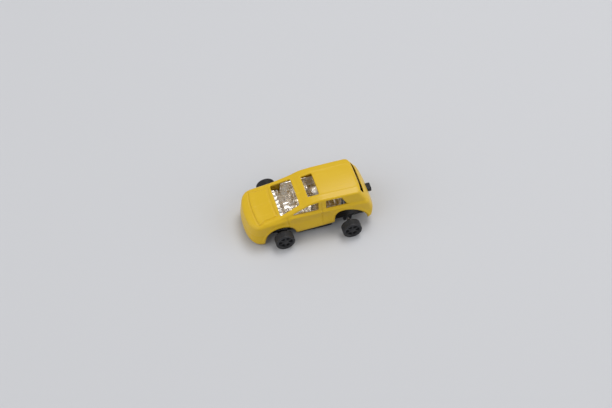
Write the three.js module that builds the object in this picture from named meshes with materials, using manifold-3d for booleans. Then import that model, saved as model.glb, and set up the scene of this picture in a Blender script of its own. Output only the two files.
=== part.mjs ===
// A small plastic toy car: a yellow moulded body with open windows over a metallised cabin tray,
// clipped on a black floor pan whose open forks hold two steel axles with one-piece wheels.
// Sizes are millimetres. x runs forward from the front axle, y to the car's left, z up from the ground.

import * as THREE from 'three';
import { mergeVertices } from 'three/addons/utils/BufferGeometryUtils.js';
import Module from 'manifold-3d';

// Running gear
const WHEELBASE = 31.8;
const WHEEL_RADIUS = 4.6;
const WHEEL_WIDTH = 3.9;
const WHEEL_FACETS = 24;
const AXLE_RADIUS = 0.6;
const AXLE_FLOAT = 1.0; // how far each axle can shift either way from the middle
const RUNNING_CLEARANCE = 0.1;
const WHEEL_GAP = 0.5; // between the flared body and a wheel pushed against it
const HUB_CAP = 0.9; // solid plastic outside the blind end of a wheel's bore

// Wheel moulding
const HUB_RADIUS = 1.3;
const RIM_BAND = 1.2; // ring round the dished spoke face
const DISH_DEPTH = 0.45;
const WEB_THICKNESS = 1.5;
const TREAD_THICKNESS = 0.9;
const TREAD_GROOVE_DEPTH = 0.25;
const TREAD_GROOVE_WIDTH = 0.5;
const TREAD_GROOVES = 2;
const EDGE_ROUND = 0.35;
const SPOKES = 6;
const SPOKE_WIDTH = 0.8;
const POCKET_DEPTH = 0.7;

// Body, main sizes
const NOSE_REACH = 16.2; // nose tip ahead of the front axle
const TAIL_REACH = 13.3; // tail behind the rear axle
const NOSE_LENGTH = 7.6; // nose ahead of the front wheel arch
const TAIL_LENGTH = 3.7; // tail skirt behind the rear wheel arch
const BODY_HALF_WIDTH = 12.5;
const WALL = 1.0;
const FIT = 0.3; // clearance between the body and what slides into it
const NOSE_POWER = 2.6; // superellipse powers that round the nose and the tail in plan
const TAIL_POWER = 4.5;

// Body, bottom edge with its wheel arches
const BUMPER_BOTTOM_Z = 0.7;
const SILL_FRONT_Z = 4.0;
const SILL_REAR_Z = 5.1;
const TAIL_BOTTOM_Z = 3.4;
const FRONT_ARCH_TOP_Z = 10.1;
const REAR_ARCH_TOP_Z = 12.5;
const FRONT_ARCH_SKEW = 0.9; // power that moves an arch's crown forward
const REAR_ARCH_SKEW = 0.7;
const FRONT_ARCH_BEHIND = 6.6; // arch ends that face the doors, measured from their own axle
const REAR_ARCH_AHEAD = 6.8;
const ARCH_FLARE = 0.3;
const SILL_ROLL = 1.2; // height of the rolled lower edge
const WAIST_SHARE = 0.45; // height of the door hollow between bottom edge and shoulder

// Body, windows
const WINDSCREEN_BASE = 0.6;
const WINDSCREEN_TOP = -9.3;
const SUNROOF_FRONT = -13.5;
const SUNROOF_REAR = -19.2;
const FRONT_WINDOW_TIP = -5.2;
const FRONT_WINDOW_REAR = -17.8;
const REAR_WINDOW_FRONT = -21.0;
const REAR_WINDOW_AHEAD = 1.3; // rear end of the rear side window, ahead of the rear axle
const SIDE_WINDOW_LOW = 0.03; // shares of the way from the belt line to the roof rail
const SIDE_WINDOW_HIGH = 0.96;
const TAIL_WINDOW_LOW = 0.42;
const TAIL_WINDOW_HIGH = 0.94;
const TAIL_WINDOW_END = 0.55; // share of the tail's turn where the tail window starts

// Body, heights
const BELT_Z = 15.8;
const ROOF_Z = 22.1;
const ROOF_CROWN = 0.8; // rise of the roof from its rails to the middle
const LINE_BLEND = 1.4; // half the stretch over which a height line is smoothed at its knots
const ROUND_LIMIT = 0.45; // most of a section's side that one rounding may take
const TAIL_LIP_SHARE = 0.35; // share of the roof rail's rounding that is left at the lip over the tail window

// Mesh fineness
const STATION_STEP = 2.2;
const TURN_STEPS = 6;

// Floor pan
const PAN_THICKNESS = 1.0;
const PAN_NOSE_REACH = 0.8; // ahead of the front wheel arch
const PAN_TAIL_GAP = 3.2; // clear of the tail
const PAN_CORNER = 2.5;
const BELLY_DEPTH = 3.8; // below the main plate
const BELLY_ARCH_GAP = 0.3; // how far the belly stays clear of the wheel arches
const BELLY_CORNER = 1.2;
const FORK_HALF_LENGTH = 2.4;
const FORK_WIDTH = 1.8;
const FORK_BRIDGE = 0.24; // fork above the axle's slot, up to the main plate
const FORK_DROP = 1.66; // prongs below the axle's middle
const FORK_TAPER = 0.75; // a fork's length at its foot, as a share of its length at the plate
const FORK_LIP = 0.12; // how far each prong's snap lip closes in under the axle
const TONGUE_HALF_WIDTH = 4.0;
const TONGUE_HOLD = 1.0; // how far the tongue reaches over the body's ledge
const LEDGE_HEIGHT = 1.0;
const LEDGE_DEPTH = 2.4;
const LEDGE_ROOT = 0.3; // how far the ledge runs into the nose wall
const CATCH_HALF_WIDTH = 2.0;
const CATCH_BOTTOM_Z = 8.7;
const CATCH_THICKNESS = 2.2;
const CATCH_SLOT_REACH = 4.0; // how far in from the tail its slot is cut
const CATCH_OUT = 1.1; // how far the catch stands out behind the tail
const CATCH_POST = 1.2;
const CATCH_ROUND = 0.5;

// Cabin tray
const SEAT_GAP = 0.05;
const TRAY_WALL = 0.8;
const TRAY_FRONT = 1.2;
const TRAY_REAR_AHEAD = 0.6; // rear end of the tray, ahead of the rear axle
const TRAY_ARCH_GAP = 0.4; // from the rear wheel arch to the tray's full width
const TRAY_RIM_BELOW_BELT = 1.0;
const DASH_DEPTH = 5.0;
const DASH_BELOW_BELT = 2.6;
const SEAT_FRONT = -9.0;
const SEAT_LENGTH = 7.6;
const SEAT_HALF_WIDTH = 3.2;
const SEAT_SPREAD = 4.6; // each front seat's middle from the centreline
const CUSHION_HEIGHT = 3.6; // above the tray floor
const BACKREST_BELOW_ROOF = 5.7;
const BACKREST_THICKNESS = 2.0;
const SEAT_ROUND = 0.8;
const BENCH_LENGTH = 9.7;
const BENCH_HALF_WIDTH = 7.8;
const STEERING_RADIUS = 1.7;
const STEERING_THICKNESS = 0.6;
const STEERING_TILT = 0.45; // radians
const COLUMN_RADIUS = 0.5;
const COLUMN_LENGTH = 2.4;

// Places worked out from the sizes
const NOSE = NOSE_REACH;
const TAIL = -WHEELBASE - TAIL_REACH;
const CATCH_TIP = TAIL - CATCH_OUT;
const FRONT_ARCH_FRONT = NOSE - NOSE_LENGTH;
const FRONT_ARCH_REAR = -FRONT_ARCH_BEHIND;
const REAR_ARCH_FRONT = -WHEELBASE + REAR_ARCH_AHEAD;
const REAR_ARCH_REAR = TAIL + TAIL_LENGTH;
const REAR_WINDOW_REAR = -WHEELBASE + REAR_WINDOW_AHEAD;
const AXLE_Z = WHEEL_RADIUS * Math.cos(Math.PI / WHEEL_FACETS); // a wheel rests on one of its facets
const PAN_Z = AXLE_Z + AXLE_RADIUS + RUNNING_CLEARANCE + FORK_BRIDGE; // underside of the main plate
const PAN_TOP_Z = PAN_Z + PAN_THICKNESS;
const BELLY_Z = PAN_Z - BELLY_DEPTH;
const FORK_BOTTOM_Z = AXLE_Z - FORK_DROP;
const CATCH_TOP_Z = CATCH_BOTTOM_Z + CATCH_THICKNESS;
const ROOF_RAIL_Z = ROOF_Z - ROOF_CROWN;
const RIM_RADIUS = WHEEL_RADIUS - RIM_BAND; // outer edge of the dished spoke face

const wasm = await Module();
wasm.setup();

// Solids: a closed geometry with merged vertices becomes a solid that can be joined and cut

function weld(geometry) {
  const bare = geometry.clone();
  bare.deleteAttribute('normal');
  bare.deleteAttribute('uv');
  const merged = mergeVertices(bare, 1e-4);
  const index = merged.index.array;
  const kept = [];
  for (let i = 0; i < index.length; i += 3) {
    const [a, b, c] = [index[i], index[i + 1], index[i + 2]];
    if (a !== b && b !== c && c !== a) kept.push(a, b, c);
  }
  merged.setIndex(kept);
  return merged;
}

function solid(geometry) {
  const merged = weld(geometry);
  return new wasm.Manifold(new wasm.Mesh({
    numProp: 3,
    vertProperties: new Float32Array(merged.attributes.position.array),
    triVerts: new Uint32Array(merged.index.array),
  }));
}

function geometryOf(body) {
  const mesh = body.getMesh();
  const geometry = new THREE.BufferGeometry();
  geometry.setAttribute('position', new THREE.BufferAttribute(new Float32Array(mesh.vertProperties), 3));
  geometry.setIndex(new THREE.BufferAttribute(new Uint32Array(mesh.triVerts), 1));
  return geometry;
}

function join(...geometries) {
  return geometries.map(solid).reduce((whole, piece) => whole.add(piece));
}

// Prisms: an outline drawn in one plane and carried along the third axis

function extrude(shape, depth) {
  return new THREE.ExtrudeGeometry(shape, { depth, bevelEnabled: false, curveSegments: 4 });
}

function prismAlongZ(shape, low, high) {
  return extrude(shape, high - low).translate(0, 0, low);
}

function prismAlongY(shape, low, high) {
  return extrude(shape, high - low).rotateX(Math.PI / 2).translate(0, high, 0);
}

function prismAlongX(shape, low, high) {
  const turn = new THREE.Matrix4().makeBasis(
    new THREE.Vector3(0, 1, 0),
    new THREE.Vector3(0, 0, 1),
    new THREE.Vector3(1, 0, 0),
  );
  return extrude(shape, high - low).applyMatrix4(turn).translate(low, 0, 0);
}

function rectangle(left, right, bottom, top, round = 0) {
  const shape = new THREE.Shape();
  if (round === 0) {
    shape.moveTo(left, bottom).lineTo(right, bottom).lineTo(right, top).lineTo(left, top);
    return shape;
  }
  shape.absarc(right - round, bottom + round, round, -Math.PI / 2, 0);
  shape.absarc(right - round, top - round, round, 0, Math.PI / 2);
  shape.absarc(left + round, top - round, round, Math.PI / 2, Math.PI);
  shape.absarc(left + round, bottom + round, round, Math.PI, 1.5 * Math.PI);
  return shape;
}

// Body shell: seven rails run from the nose round the car's left side to the tail. A section across
// them at each station is a rounded polyline up the side and a crown over the roof.

const mix = (a, b, t) => a + (b - a) * t;

function heightLine(knots) {
  const straight = (x) => {
    const next = knots.findIndex(([at]) => at > x);
    if (next === 0) return knots[0][1];
    if (next < 0) return knots[knots.length - 1][1];
    const [x0, z0] = knots[next - 1];
    const [x1, z1] = knots[next];
    return mix(z0, z1, (x - x0) / (x1 - x0));
  };
  const shifts = [-1, -0.75, -0.5, -0.25, 0, 0.25, 0.5, 0.75, 1];
  return (x) => shifts.reduce((sum, s) => sum + straight(x + s * LINE_BLEND), 0) / shifts.length;
}

// Each line's knots are places along the car and heights set off from the belt, the roof or its rails
const SHOULDER_LINE = heightLine([
  [TAIL, BELT_Z - 2.4],
  [-WHEELBASE - 4, BELT_Z - 1.4],
  [-WHEELBASE, BELT_Z - 1.1],
  [FRONT_WINDOW_TIP - 1.8, BELT_Z - 1.2],
  [WINDSCREEN_BASE + 1.4, BELT_Z - 2.4],
  [NOSE, BELT_Z - 4.6],
]);
const BELT_LINE = heightLine([
  [TAIL, BELT_Z - 0.4],
  [-WHEELBASE - 3, BELT_Z],
  [FRONT_WINDOW_TIP - 0.2, BELT_Z],
  [WINDSCREEN_BASE + 0.4, BELT_Z - 1.5],
  [FRONT_ARCH_FRONT + 1.2, BELT_Z - 2.6],
  [NOSE, BELT_Z - 3.9],
]);
const RAIL_LINE = heightLine([
  [-WHEELBASE, ROOF_RAIL_Z],
  [SUNROOF_REAR, ROOF_RAIL_Z],
  [SUNROOF_FRONT, ROOF_RAIL_Z - 0.7],
  [WINDSCREEN_TOP, ROOF_RAIL_Z - 2.6],
  [WINDSCREEN_BASE, BELT_Z - 0.7],
  [WINDSCREEN_BASE + 2.4, BELT_Z - 1.3],
  [FRONT_ARCH_FRONT, BELT_Z - 2.1],
  [NOSE - 4, BELT_Z - 2.8],
]);
const SPINE_LINE = heightLine([
  [-WHEELBASE, ROOF_Z],
  [SUNROOF_REAR, ROOF_Z - 0.3],
  [SUNROOF_FRONT, ROOF_Z - 1.1],
  [WINDSCREEN_TOP, ROOF_Z - 3.1],
  [WINDSCREEN_BASE + 0.4, BELT_Z - 0.1],
  [WINDSCREEN_BASE + 2, BELT_Z - 0.7],
  [NOSE - 6, BELT_Z - 2.0],
]);
// How far the roof rail draws in from the hood's edge to the cabin
const CABIN_TUCK = heightLine([
  [-WHEELBASE, 0], [SUNROOF_REAR, 0.4], [WINDSCREEN_TOP, 0.4], [WINDSCREEN_BASE, 0],
]);
// Half width of the roof openings, as a share of the roof rail's half width
const OPENING_SHARE = heightLine([
  [SUNROOF_REAR, 0.65], [SUNROOF_FRONT, 0.62], [WINDSCREEN_TOP, 0.78], [WINDSCREEN_BASE, 0.885],
]);

// Each rail's inset from the nose tip, the widest side and the tail, where its nose and tail turns begin
// beside the arch ends, the rounding of the section there, and how far its stations bunch with the arches
const RAILS = [
  { name: 'bottom', nose: 1.0, side: 0.4, tail: 2.1, noseTurn: 0.0, tailTurn: 0.0, round: 0.0, bunch: 1.0 },
  { name: 'sill', nose: 0.2, side: 0.1, tail: 1.0, noseTurn: 0.0, tailTurn: 0.0, round: 0.5, bunch: 1.0 },
  { name: 'waist', nose: 0.0, side: 0.5, tail: 0.0, noseTurn: 0.2, tailTurn: 1.3, round: 1.6, bunch: 0.5 },
  { name: 'shoulder', nose: 0.8, side: 0.3, tail: 2.1, noseTurn: 0.1, tailTurn: 2.8, round: 0.7, bunch: 0.0 },
  { name: 'belt', nose: 2.0, side: 1.1, tail: 3.1, noseTurn: -0.1, tailTurn: 3.8, round: 0.25, bunch: 0.0 },
  { name: 'roof', nose: 4.1, side: 1.7, tail: 6.7, noseTurn: -0.8, tailTurn: 7.1, round: 0.9, bunch: 0.0 },
  {
    name: 'spine', nose: 5.9, side: BODY_HALF_WIDTH, tail: 8.4,
    noseTurn: 0.9, tailTurn: 8.6, round: 0.0, bunch: 0.0,
  },
];

const CREST = 0.93; // share of the roof's half width where the rail's rounding meets the crown

// A station is a zone of the outline and the share of the way through it
function stations() {
  const belt = RAILS.find((rail) => rail.name === 'belt');
  const edges = {
    frontArch: [FRONT_ARCH_FRONT + belt.noseTurn, FRONT_ARCH_REAR],
    door: [FRONT_ARCH_REAR, REAR_ARCH_FRONT],
    rearArch: [REAR_ARCH_FRONT, REAR_ARCH_REAR + belt.tailTurn],
  };
  const windowEdges = [
    WINDSCREEN_BASE, WINDSCREEN_TOP, SUNROOF_FRONT, SUNROOF_REAR,
    FRONT_WINDOW_TIP, FRONT_WINDOW_REAR, REAR_WINDOW_FRONT, REAR_WINDOW_REAR,
  ];
  const list = [];
  for (let i = 0; i < TURN_STEPS; i += 1) list.push({ zone: 'nose', t: i / TURN_STEPS, x: Infinity });
  for (const [zone, [start, end]] of Object.entries(edges)) {
    const inside = windowEdges.filter((x) => x < start && x > end);
    const stops = [start, ...inside.sort((a, b) => b - a), end];
    for (let i = 0; i + 1 < stops.length; i += 1) {
      const count = Math.ceil((stops[i] - stops[i + 1]) / STATION_STEP);
      for (let k = 0; k < count; k += 1) {
        const x = mix(stops[i], stops[i + 1], k / count);
        list.push({ zone, t: (start - x) / (start - end), x });
      }
    }
  }
  for (const [from, to] of [[0, TAIL_WINDOW_END], [TAIL_WINDOW_END, 1]]) {
    for (let i = 0; i < TURN_STEPS / 2; i += 1) {
      list.push({ zone: 'tail', t: mix(from, to, (2 * i) / TURN_STEPS), x: -Infinity });
    }
  }
  list.push({ zone: 'tail', t: 1, x: -Infinity });
  return list;
}

// Where a rail lies in plan at a station
function planPoint(rail, { zone, t }) {
  const half = BODY_HALF_WIDTH - rail.side;
  const noseCorner = FRONT_ARCH_FRONT + rail.noseTurn;
  const tailCorner = REAR_ARCH_REAR + rail.tailTurn;
  const arch = (1 - Math.cos(Math.PI * t)) / 2;
  const flare = ARCH_FLARE * rail.bunch * Math.sin(Math.PI * t);
  if (zone === 'nose') {
    const angle = (1 - t) * Math.PI / 2;
    const reach = Math.sin(angle) ** (2 / NOSE_POWER);
    const spread = t === 0 ? 0 : Math.cos(angle) ** (2 / NOSE_POWER);
    return [mix(noseCorner, NOSE - rail.nose, reach), half * spread];
  }
  if (zone === 'frontArch') {
    return [mix(noseCorner, FRONT_ARCH_REAR, mix(t, arch, rail.bunch)), half + flare];
  }
  if (zone === 'door') return [mix(FRONT_ARCH_REAR, REAR_ARCH_FRONT, t), half];
  if (zone === 'rearArch') {
    return [mix(REAR_ARCH_FRONT, tailCorner, mix(t, arch, rail.bunch)), half + flare];
  }
  const angle = t * Math.PI / 2;
  const reach = Math.sin(angle) ** (2 / TAIL_POWER);
  const spread = t === 1 ? 0 : Math.cos(angle) ** (2 / TAIL_POWER);
  return [mix(tailCorner, TAIL + rail.tail, reach), half * spread];
}

function bottomHeight({ zone, t }) {
  if (zone === 'nose') return BUMPER_BOTTOM_Z;
  if (zone === 'door') return mix(SILL_FRONT_Z, SILL_REAR_Z, t);
  if (zone === 'tail') return TAIL_BOTTOM_Z;
  const [from, to, top, skew] = zone === 'frontArch'
    ? [BUMPER_BOTTOM_Z, SILL_FRONT_Z, FRONT_ARCH_TOP_Z, FRONT_ARCH_SKEW]
    : [SILL_REAR_Z, TAIL_BOTTOM_Z, REAR_ARCH_TOP_Z, REAR_ARCH_SKEW];
  const rise = Math.sin(Math.PI * t ** skew);
  return mix(from, to, t) + (top - (from + to) / 2) * rise;
}

function railPoints(station) {
  const plan = RAILS.map((rail) => planPoint(rail, station));
  const roof = plan[5];
  roof[1] *= 1 - CABIN_TUCK(roof[0]) / BODY_HALF_WIDTH;
  const bottom = bottomHeight(station);
  const shoulder = SHOULDER_LINE(plan[3][0]);
  const waist = mix(bottom, shoulder, WAIST_SHARE);
  const heights = [
    bottom,
    bottom + Math.min(SILL_ROLL, 2 * ROUND_LIMIT * (waist - bottom)),
    waist,
    shoulder,
    BELT_LINE(plan[4][0]),
    RAIL_LINE(plan[5][0]),
    SPINE_LINE(plan[6][0]),
  ];
  return plan.map(([x, y], i) => new THREE.Vector3(x, y, heights[i]));
}

// The section's columns, counted from the bottom edge, where the side windows and the roof openings begin
const WINDOW_COLUMN = 9;
const OPENING_COLUMN = 14;

function section(station) {
  const points = railPoints(station);
  const [roof, spine] = [points[5], points[6]];
  const crown = (share) => new THREE.Vector3(
    mix(spine.x, roof.x, share),
    roof.y * share,
    mix(spine.z, roof.z, share * share),
  );
  const tail = station.zone === 'tail';
  const lip = tail ? mix(1, TAIL_LIP_SHARE, Math.sin(station.t * Math.PI / 2)) : 1;
  const rounding = (i) => (i === 5 ? lip : 1) * RAILS[i].round;
  const before = (i) => {
    const back = points[i - 1].clone().sub(points[i]);
    return points[i].clone().addScaledVector(back, Math.min(ROUND_LIMIT, rounding(i) / back.length()));
  };
  const after = (i) => {
    const ahead = points[i + 1].clone().sub(points[i]);
    return points[i].clone().addScaledVector(ahead, Math.min(ROUND_LIMIT, rounding(i) / ahead.length()));
  };
  const column = [points[0]];
  for (let i = 1; i <= 4; i += 1) column.push(before(i), after(i));
  const [low, high] = tail ? [TAIL_WINDOW_LOW, TAIL_WINDOW_HIGH] : [SIDE_WINDOW_LOW, SIDE_WINDOW_HIGH];
  const [beltTop, railBase] = [after(4), before(5)];
  column.push(beltTop.clone().lerp(railBase, low), beltTop.clone().lerp(railBase, high));
  const middle = new THREE.QuadraticBezierCurve3(railBase, roof, crown(CREST)).getPoint(0.5);
  column.push(railBase, middle, crown(CREST));
  const opening = OPENING_SHARE(roof.x);
  column.push(crown(opening), crown(opening / 2), crown(0));
  return column;
}

function isOpen(station, next, j) {
  const x = (station.x + next.x) / 2;
  const between = (front, rear) => x < front && x > rear;
  if (j === WINDOW_COLUMN) {
    const tailWindow = station.zone === 'tail' && next.t > TAIL_WINDOW_END;
    const frontWindow = between(FRONT_WINDOW_TIP, FRONT_WINDOW_REAR);
    const rearWindow = between(REAR_WINDOW_FRONT, REAR_WINDOW_REAR);
    return tailWindow || frontWindow || rearWindow;
  }
  const windscreen = between(WINDSCREEN_BASE, WINDSCREEN_TOP);
  const sunroof = between(SUNROOF_FRONT, SUNROOF_REAR);
  return j >= OPENING_COLUMN && (windscreen || sunroof);
}

function bodyShell() {
  const list = stations();
  const left = list.map(section);
  const rows = left.length;
  const columns = left[0].length;
  // Both halves of the outer face, sharing their points on the car's middle plane
  const points = [];
  const place = (side, i, j) => {
    const p = left[i][j];
    const middle = i === 0 || i === rows - 1 || j === columns - 1;
    points.push(new THREE.Vector3(p.x, middle ? 0 : side * p.y, p.z));
    return points.length - 1;
  };
  const id = { 1: [], '-1': [] };
  for (let i = 0; i < rows; i += 1) {
    id[1].push(left[i].map((p, j) => place(1, i, j)));
    id[-1].push(left[i].map((p, j) => {
      const middle = i === 0 || i === rows - 1 || j === columns - 1;
      return middle ? id[1][i][j] : place(-1, i, j);
    }));
  }
  const outer = new THREE.BufferGeometry().setFromPoints(points);
  const everyCell = [];
  const kept = [];
  const rims = [];
  for (const side of [1, -1]) {
    const open = (i, j) => j >= 0 && isOpen(list[i], list[i + 1], j);
    for (let i = 0; i + 1 < rows; i += 1) {
      for (let j = 0; j + 1 < columns; j += 1) {
        const [a, b] = [id[side][i][j], id[side][i + 1][j]];
        const [d, c] = [id[side][i][j + 1], id[side][i + 1][j + 1]];
        const quad = side === 1 ? [a, b, c, d] : [a, d, c, b];
        everyCell.push(quad);
        if (open(i, j)) continue;
        kept.push(quad);
        const edge = (from, to) => rims.push(side === 1 ? [from, to] : [to, from]);
        if (j === 0) edge(a, b);
        if (j > 0 && open(i, j - 1)) edge(a, b);
        if (j + 2 < columns && open(i, j + 1)) edge(c, d);
        if (i > 0 && open(i - 1, j)) edge(d, a);
        if (i + 2 < rows && open(i + 1, j)) edge(b, c);
      }
    }
  }
  const triangles = (quads) => quads.flatMap(([a, b, c, d]) => [a, b, c, a, c, d]);
  outer.setIndex(triangles(everyCell));
  outer.computeVertexNormals();
  const normal = new THREE.Vector3();
  const count = points.length;
  const inner = points.map((p, i) => {
    normal.fromBufferAttribute(outer.attributes.normal, i);
    return p.clone().addScaledVector(normal, -WALL);
  });
  const inside = kept.map(([a, b, c, d]) => [d + count, c + count, b + count, a + count]);
  const rimQuads = rims.map(([a, b]) => [b, a, a + count, b + count]);
  const shell = new THREE.BufferGeometry().setFromPoints([...points, ...inner]);
  shell.setIndex(triangles([...kept, ...inside, ...rimQuads]));
  return shell;
}

// Body furniture: a ledge behind the bumper holds the pan's front tongue, and a slot in the tail its catch

const CHASSIS_HALF = BODY_HALF_WIDTH - WALL - FIT - Math.max(...RAILS.slice(0, 4).map((rail) => rail.side));
const LEDGE_TOP_Z = PAN_Z - FIT;
const INNER_NOSE = NOSE - RAILS[1].nose - WALL;
const TONGUE_TIP = INNER_NOSE - LEDGE_DEPTH + TONGUE_HOLD;
const PAN_FRONT = FRONT_ARCH_FRONT + PAN_NOSE_REACH;

function body() {
  const ledge = rectangle(-TONGUE_HALF_WIDTH, TONGUE_HALF_WIDTH, LEDGE_TOP_Z - LEDGE_HEIGHT, LEDGE_TOP_Z);
  const slot = rectangle(
    -CATCH_HALF_WIDTH - FIT,
    CATCH_HALF_WIDTH + FIT,
    CATCH_BOTTOM_Z - FIT,
    CATCH_TOP_Z + FIT,
  );
  return geometryOf(
    solid(bodyShell())
      .add(solid(prismAlongX(ledge, INNER_NOSE - LEDGE_DEPTH, INNER_NOSE + LEDGE_ROOT)))
      .subtract(solid(prismAlongX(slot, CATCH_TIP, TAIL + CATCH_SLOT_REACH))),
  );
}

// Floor pan: plate, belly, tongue, tail catch and four axle forks in one moulding

function forkShape() {
  const shape = new THREE.Shape();
  const slot = AXLE_RADIUS + RUNNING_CLEARANCE;
  const mouth = AXLE_RADIUS - FORK_LIP;
  const lipZ = AXLE_Z - AXLE_RADIUS - RUNNING_CLEARANCE;
  const top = PAN_Z + PAN_THICKNESS / 2;
  shape.moveTo(-FORK_HALF_LENGTH, top);
  shape.lineTo(-FORK_HALF_LENGTH * FORK_TAPER, FORK_BOTTOM_Z);
  shape.lineTo(-slot, FORK_BOTTOM_Z);
  shape.lineTo(-mouth, (FORK_BOTTOM_Z + lipZ) / 2);
  shape.lineTo(-slot, lipZ);
  shape.lineTo(-slot, AXLE_Z);
  shape.absarc(0, AXLE_Z, slot, Math.PI, 0, true);
  shape.lineTo(slot, lipZ);
  shape.lineTo(mouth, (FORK_BOTTOM_Z + lipZ) / 2);
  shape.lineTo(slot, FORK_BOTTOM_Z);
  shape.lineTo(FORK_HALF_LENGTH * FORK_TAPER, FORK_BOTTOM_Z);
  shape.lineTo(FORK_HALF_LENGTH, top);
  return shape;
}

function chassis() {
  const panRear = TAIL + PAN_TAIL_GAP;
  const pieces = [
    prismAlongZ(rectangle(panRear, PAN_FRONT, -CHASSIS_HALF, CHASSIS_HALF, PAN_CORNER), PAN_Z, PAN_TOP_Z),
    prismAlongZ(
      rectangle(
        REAR_ARCH_FRONT + BELLY_ARCH_GAP,
        FRONT_ARCH_REAR - BELLY_ARCH_GAP,
        -CHASSIS_HALF,
        CHASSIS_HALF,
        BELLY_CORNER,
      ),
      BELLY_Z,
      PAN_Z + PAN_THICKNESS / 2,
    ),
    prismAlongZ(
      rectangle(PAN_FRONT - PAN_CORNER, TONGUE_TIP, -TONGUE_HALF_WIDTH, TONGUE_HALF_WIDTH),
      PAN_Z,
      PAN_TOP_Z,
    ),
    prismAlongX(
      rectangle(-CATCH_HALF_WIDTH, CATCH_HALF_WIDTH, PAN_Z, CATCH_TOP_Z, CATCH_ROUND),
      panRear,
      panRear + CATCH_POST,
    ),
    prismAlongX(
      rectangle(-CATCH_HALF_WIDTH, CATCH_HALF_WIDTH, CATCH_BOTTOM_Z, CATCH_TOP_Z, CATCH_ROUND),
      CATCH_TIP,
      panRear + CATCH_POST / 2,
    ),
  ];
  for (const axle of [0, -WHEELBASE]) {
    for (const outside of [CHASSIS_HALF, FORK_WIDTH - CHASSIS_HALF]) {
      pieces.push(prismAlongY(forkShape(), outside - FORK_WIDTH, outside).translate(axle, 0, 0));
    }
  }
  return geometryOf(join(...pieces));
}

// Cabin tray: floor, side walls, dashboard, two front seats, bench and steering wheel in one moulding

const TRAY_HALF = BODY_HALF_WIDTH - WALL - FIT - RAILS[4].side;
const TRAY_FLOOR_Z = PAN_TOP_Z + SEAT_GAP;
const TRAY_REAR = -WHEELBASE + TRAY_REAR_AHEAD;
const TRAY_NOTCH = REAR_ARCH_FRONT + TRAY_ARCH_GAP; // behind it the tray is no wider than its bench
const DASH_TOP_Z = BELT_Z - DASH_BELOW_BELT;
const BACKREST_TOP_Z = ROOF_Z - BACKREST_BELOW_ROOF;

function seatShape(front, rear) {
  const shape = new THREE.Shape();
  const cushion = TRAY_FLOOR_Z + CUSHION_HEIGHT;
  const lean = BACKREST_THICKNESS / 3;
  shape.moveTo(rear, TRAY_FLOOR_Z);
  shape.lineTo(front, TRAY_FLOOR_Z);
  shape.lineTo(front, cushion - SEAT_ROUND);
  shape.quadraticCurveTo(front, cushion, front - SEAT_ROUND, cushion);
  shape.lineTo(rear + BACKREST_THICKNESS + lean, cushion - SEAT_ROUND / 2);
  shape.lineTo(rear + BACKREST_THICKNESS, BACKREST_TOP_Z - SEAT_ROUND);
  shape.quadraticCurveTo(
    rear + BACKREST_THICKNESS,
    BACKREST_TOP_Z,
    rear + BACKREST_THICKNESS - SEAT_ROUND,
    BACKREST_TOP_Z,
  );
  shape.quadraticCurveTo(rear, BACKREST_TOP_Z, rear, BACKREST_TOP_Z - 2 * SEAT_ROUND);
  return shape;
}

function dashShape() {
  const shape = new THREE.Shape();
  const rear = TRAY_FRONT - DASH_DEPTH;
  const shelf = (TRAY_FLOOR_Z + DASH_TOP_Z) / 2;
  shape.moveTo(rear + DASH_DEPTH / 3, TRAY_FLOOR_Z);
  shape.lineTo(TRAY_FRONT, TRAY_FLOOR_Z);
  shape.lineTo(TRAY_FRONT, DASH_TOP_Z - SEAT_ROUND);
  shape.quadraticCurveTo(TRAY_FRONT, DASH_TOP_Z, TRAY_FRONT - SEAT_ROUND, DASH_TOP_Z);
  shape.lineTo(rear + SEAT_ROUND, DASH_TOP_Z);
  shape.quadraticCurveTo(rear, DASH_TOP_Z, rear, DASH_TOP_Z - SEAT_ROUND);
  shape.lineTo(rear, shelf);
  return shape;
}

function steeringWheel() {
  const half = STEERING_THICKNESS / 2;
  const profile = [
    [0, -half - COLUMN_LENGTH], [COLUMN_RADIUS, -half - COLUMN_LENGTH], [COLUMN_RADIUS, -half / 2],
    [STEERING_RADIUS - STEERING_THICKNESS, -half / 2], [STEERING_RADIUS - half, -half], [STEERING_RADIUS, 0],
    [STEERING_RADIUS - half, half], [STEERING_RADIUS - STEERING_THICKNESS, half / 2], [0, half / 2],
  ];
  const wheel = new THREE.LatheGeometry(profile.map(([r, a]) => new THREE.Vector2(r, a)), 14);
  const dashRear = TRAY_FRONT - DASH_DEPTH;
  const out = COLUMN_LENGTH / 2;
  return wheel
    .rotateX(Math.PI / 2)
    .rotateY(STEERING_TILT - Math.PI / 2)
    .translate(
      dashRear - out * Math.cos(STEERING_TILT),
      SEAT_SPREAD,
      DASH_TOP_Z - STEERING_RADIUS + out * Math.sin(STEERING_TILT),
    );
}

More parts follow.
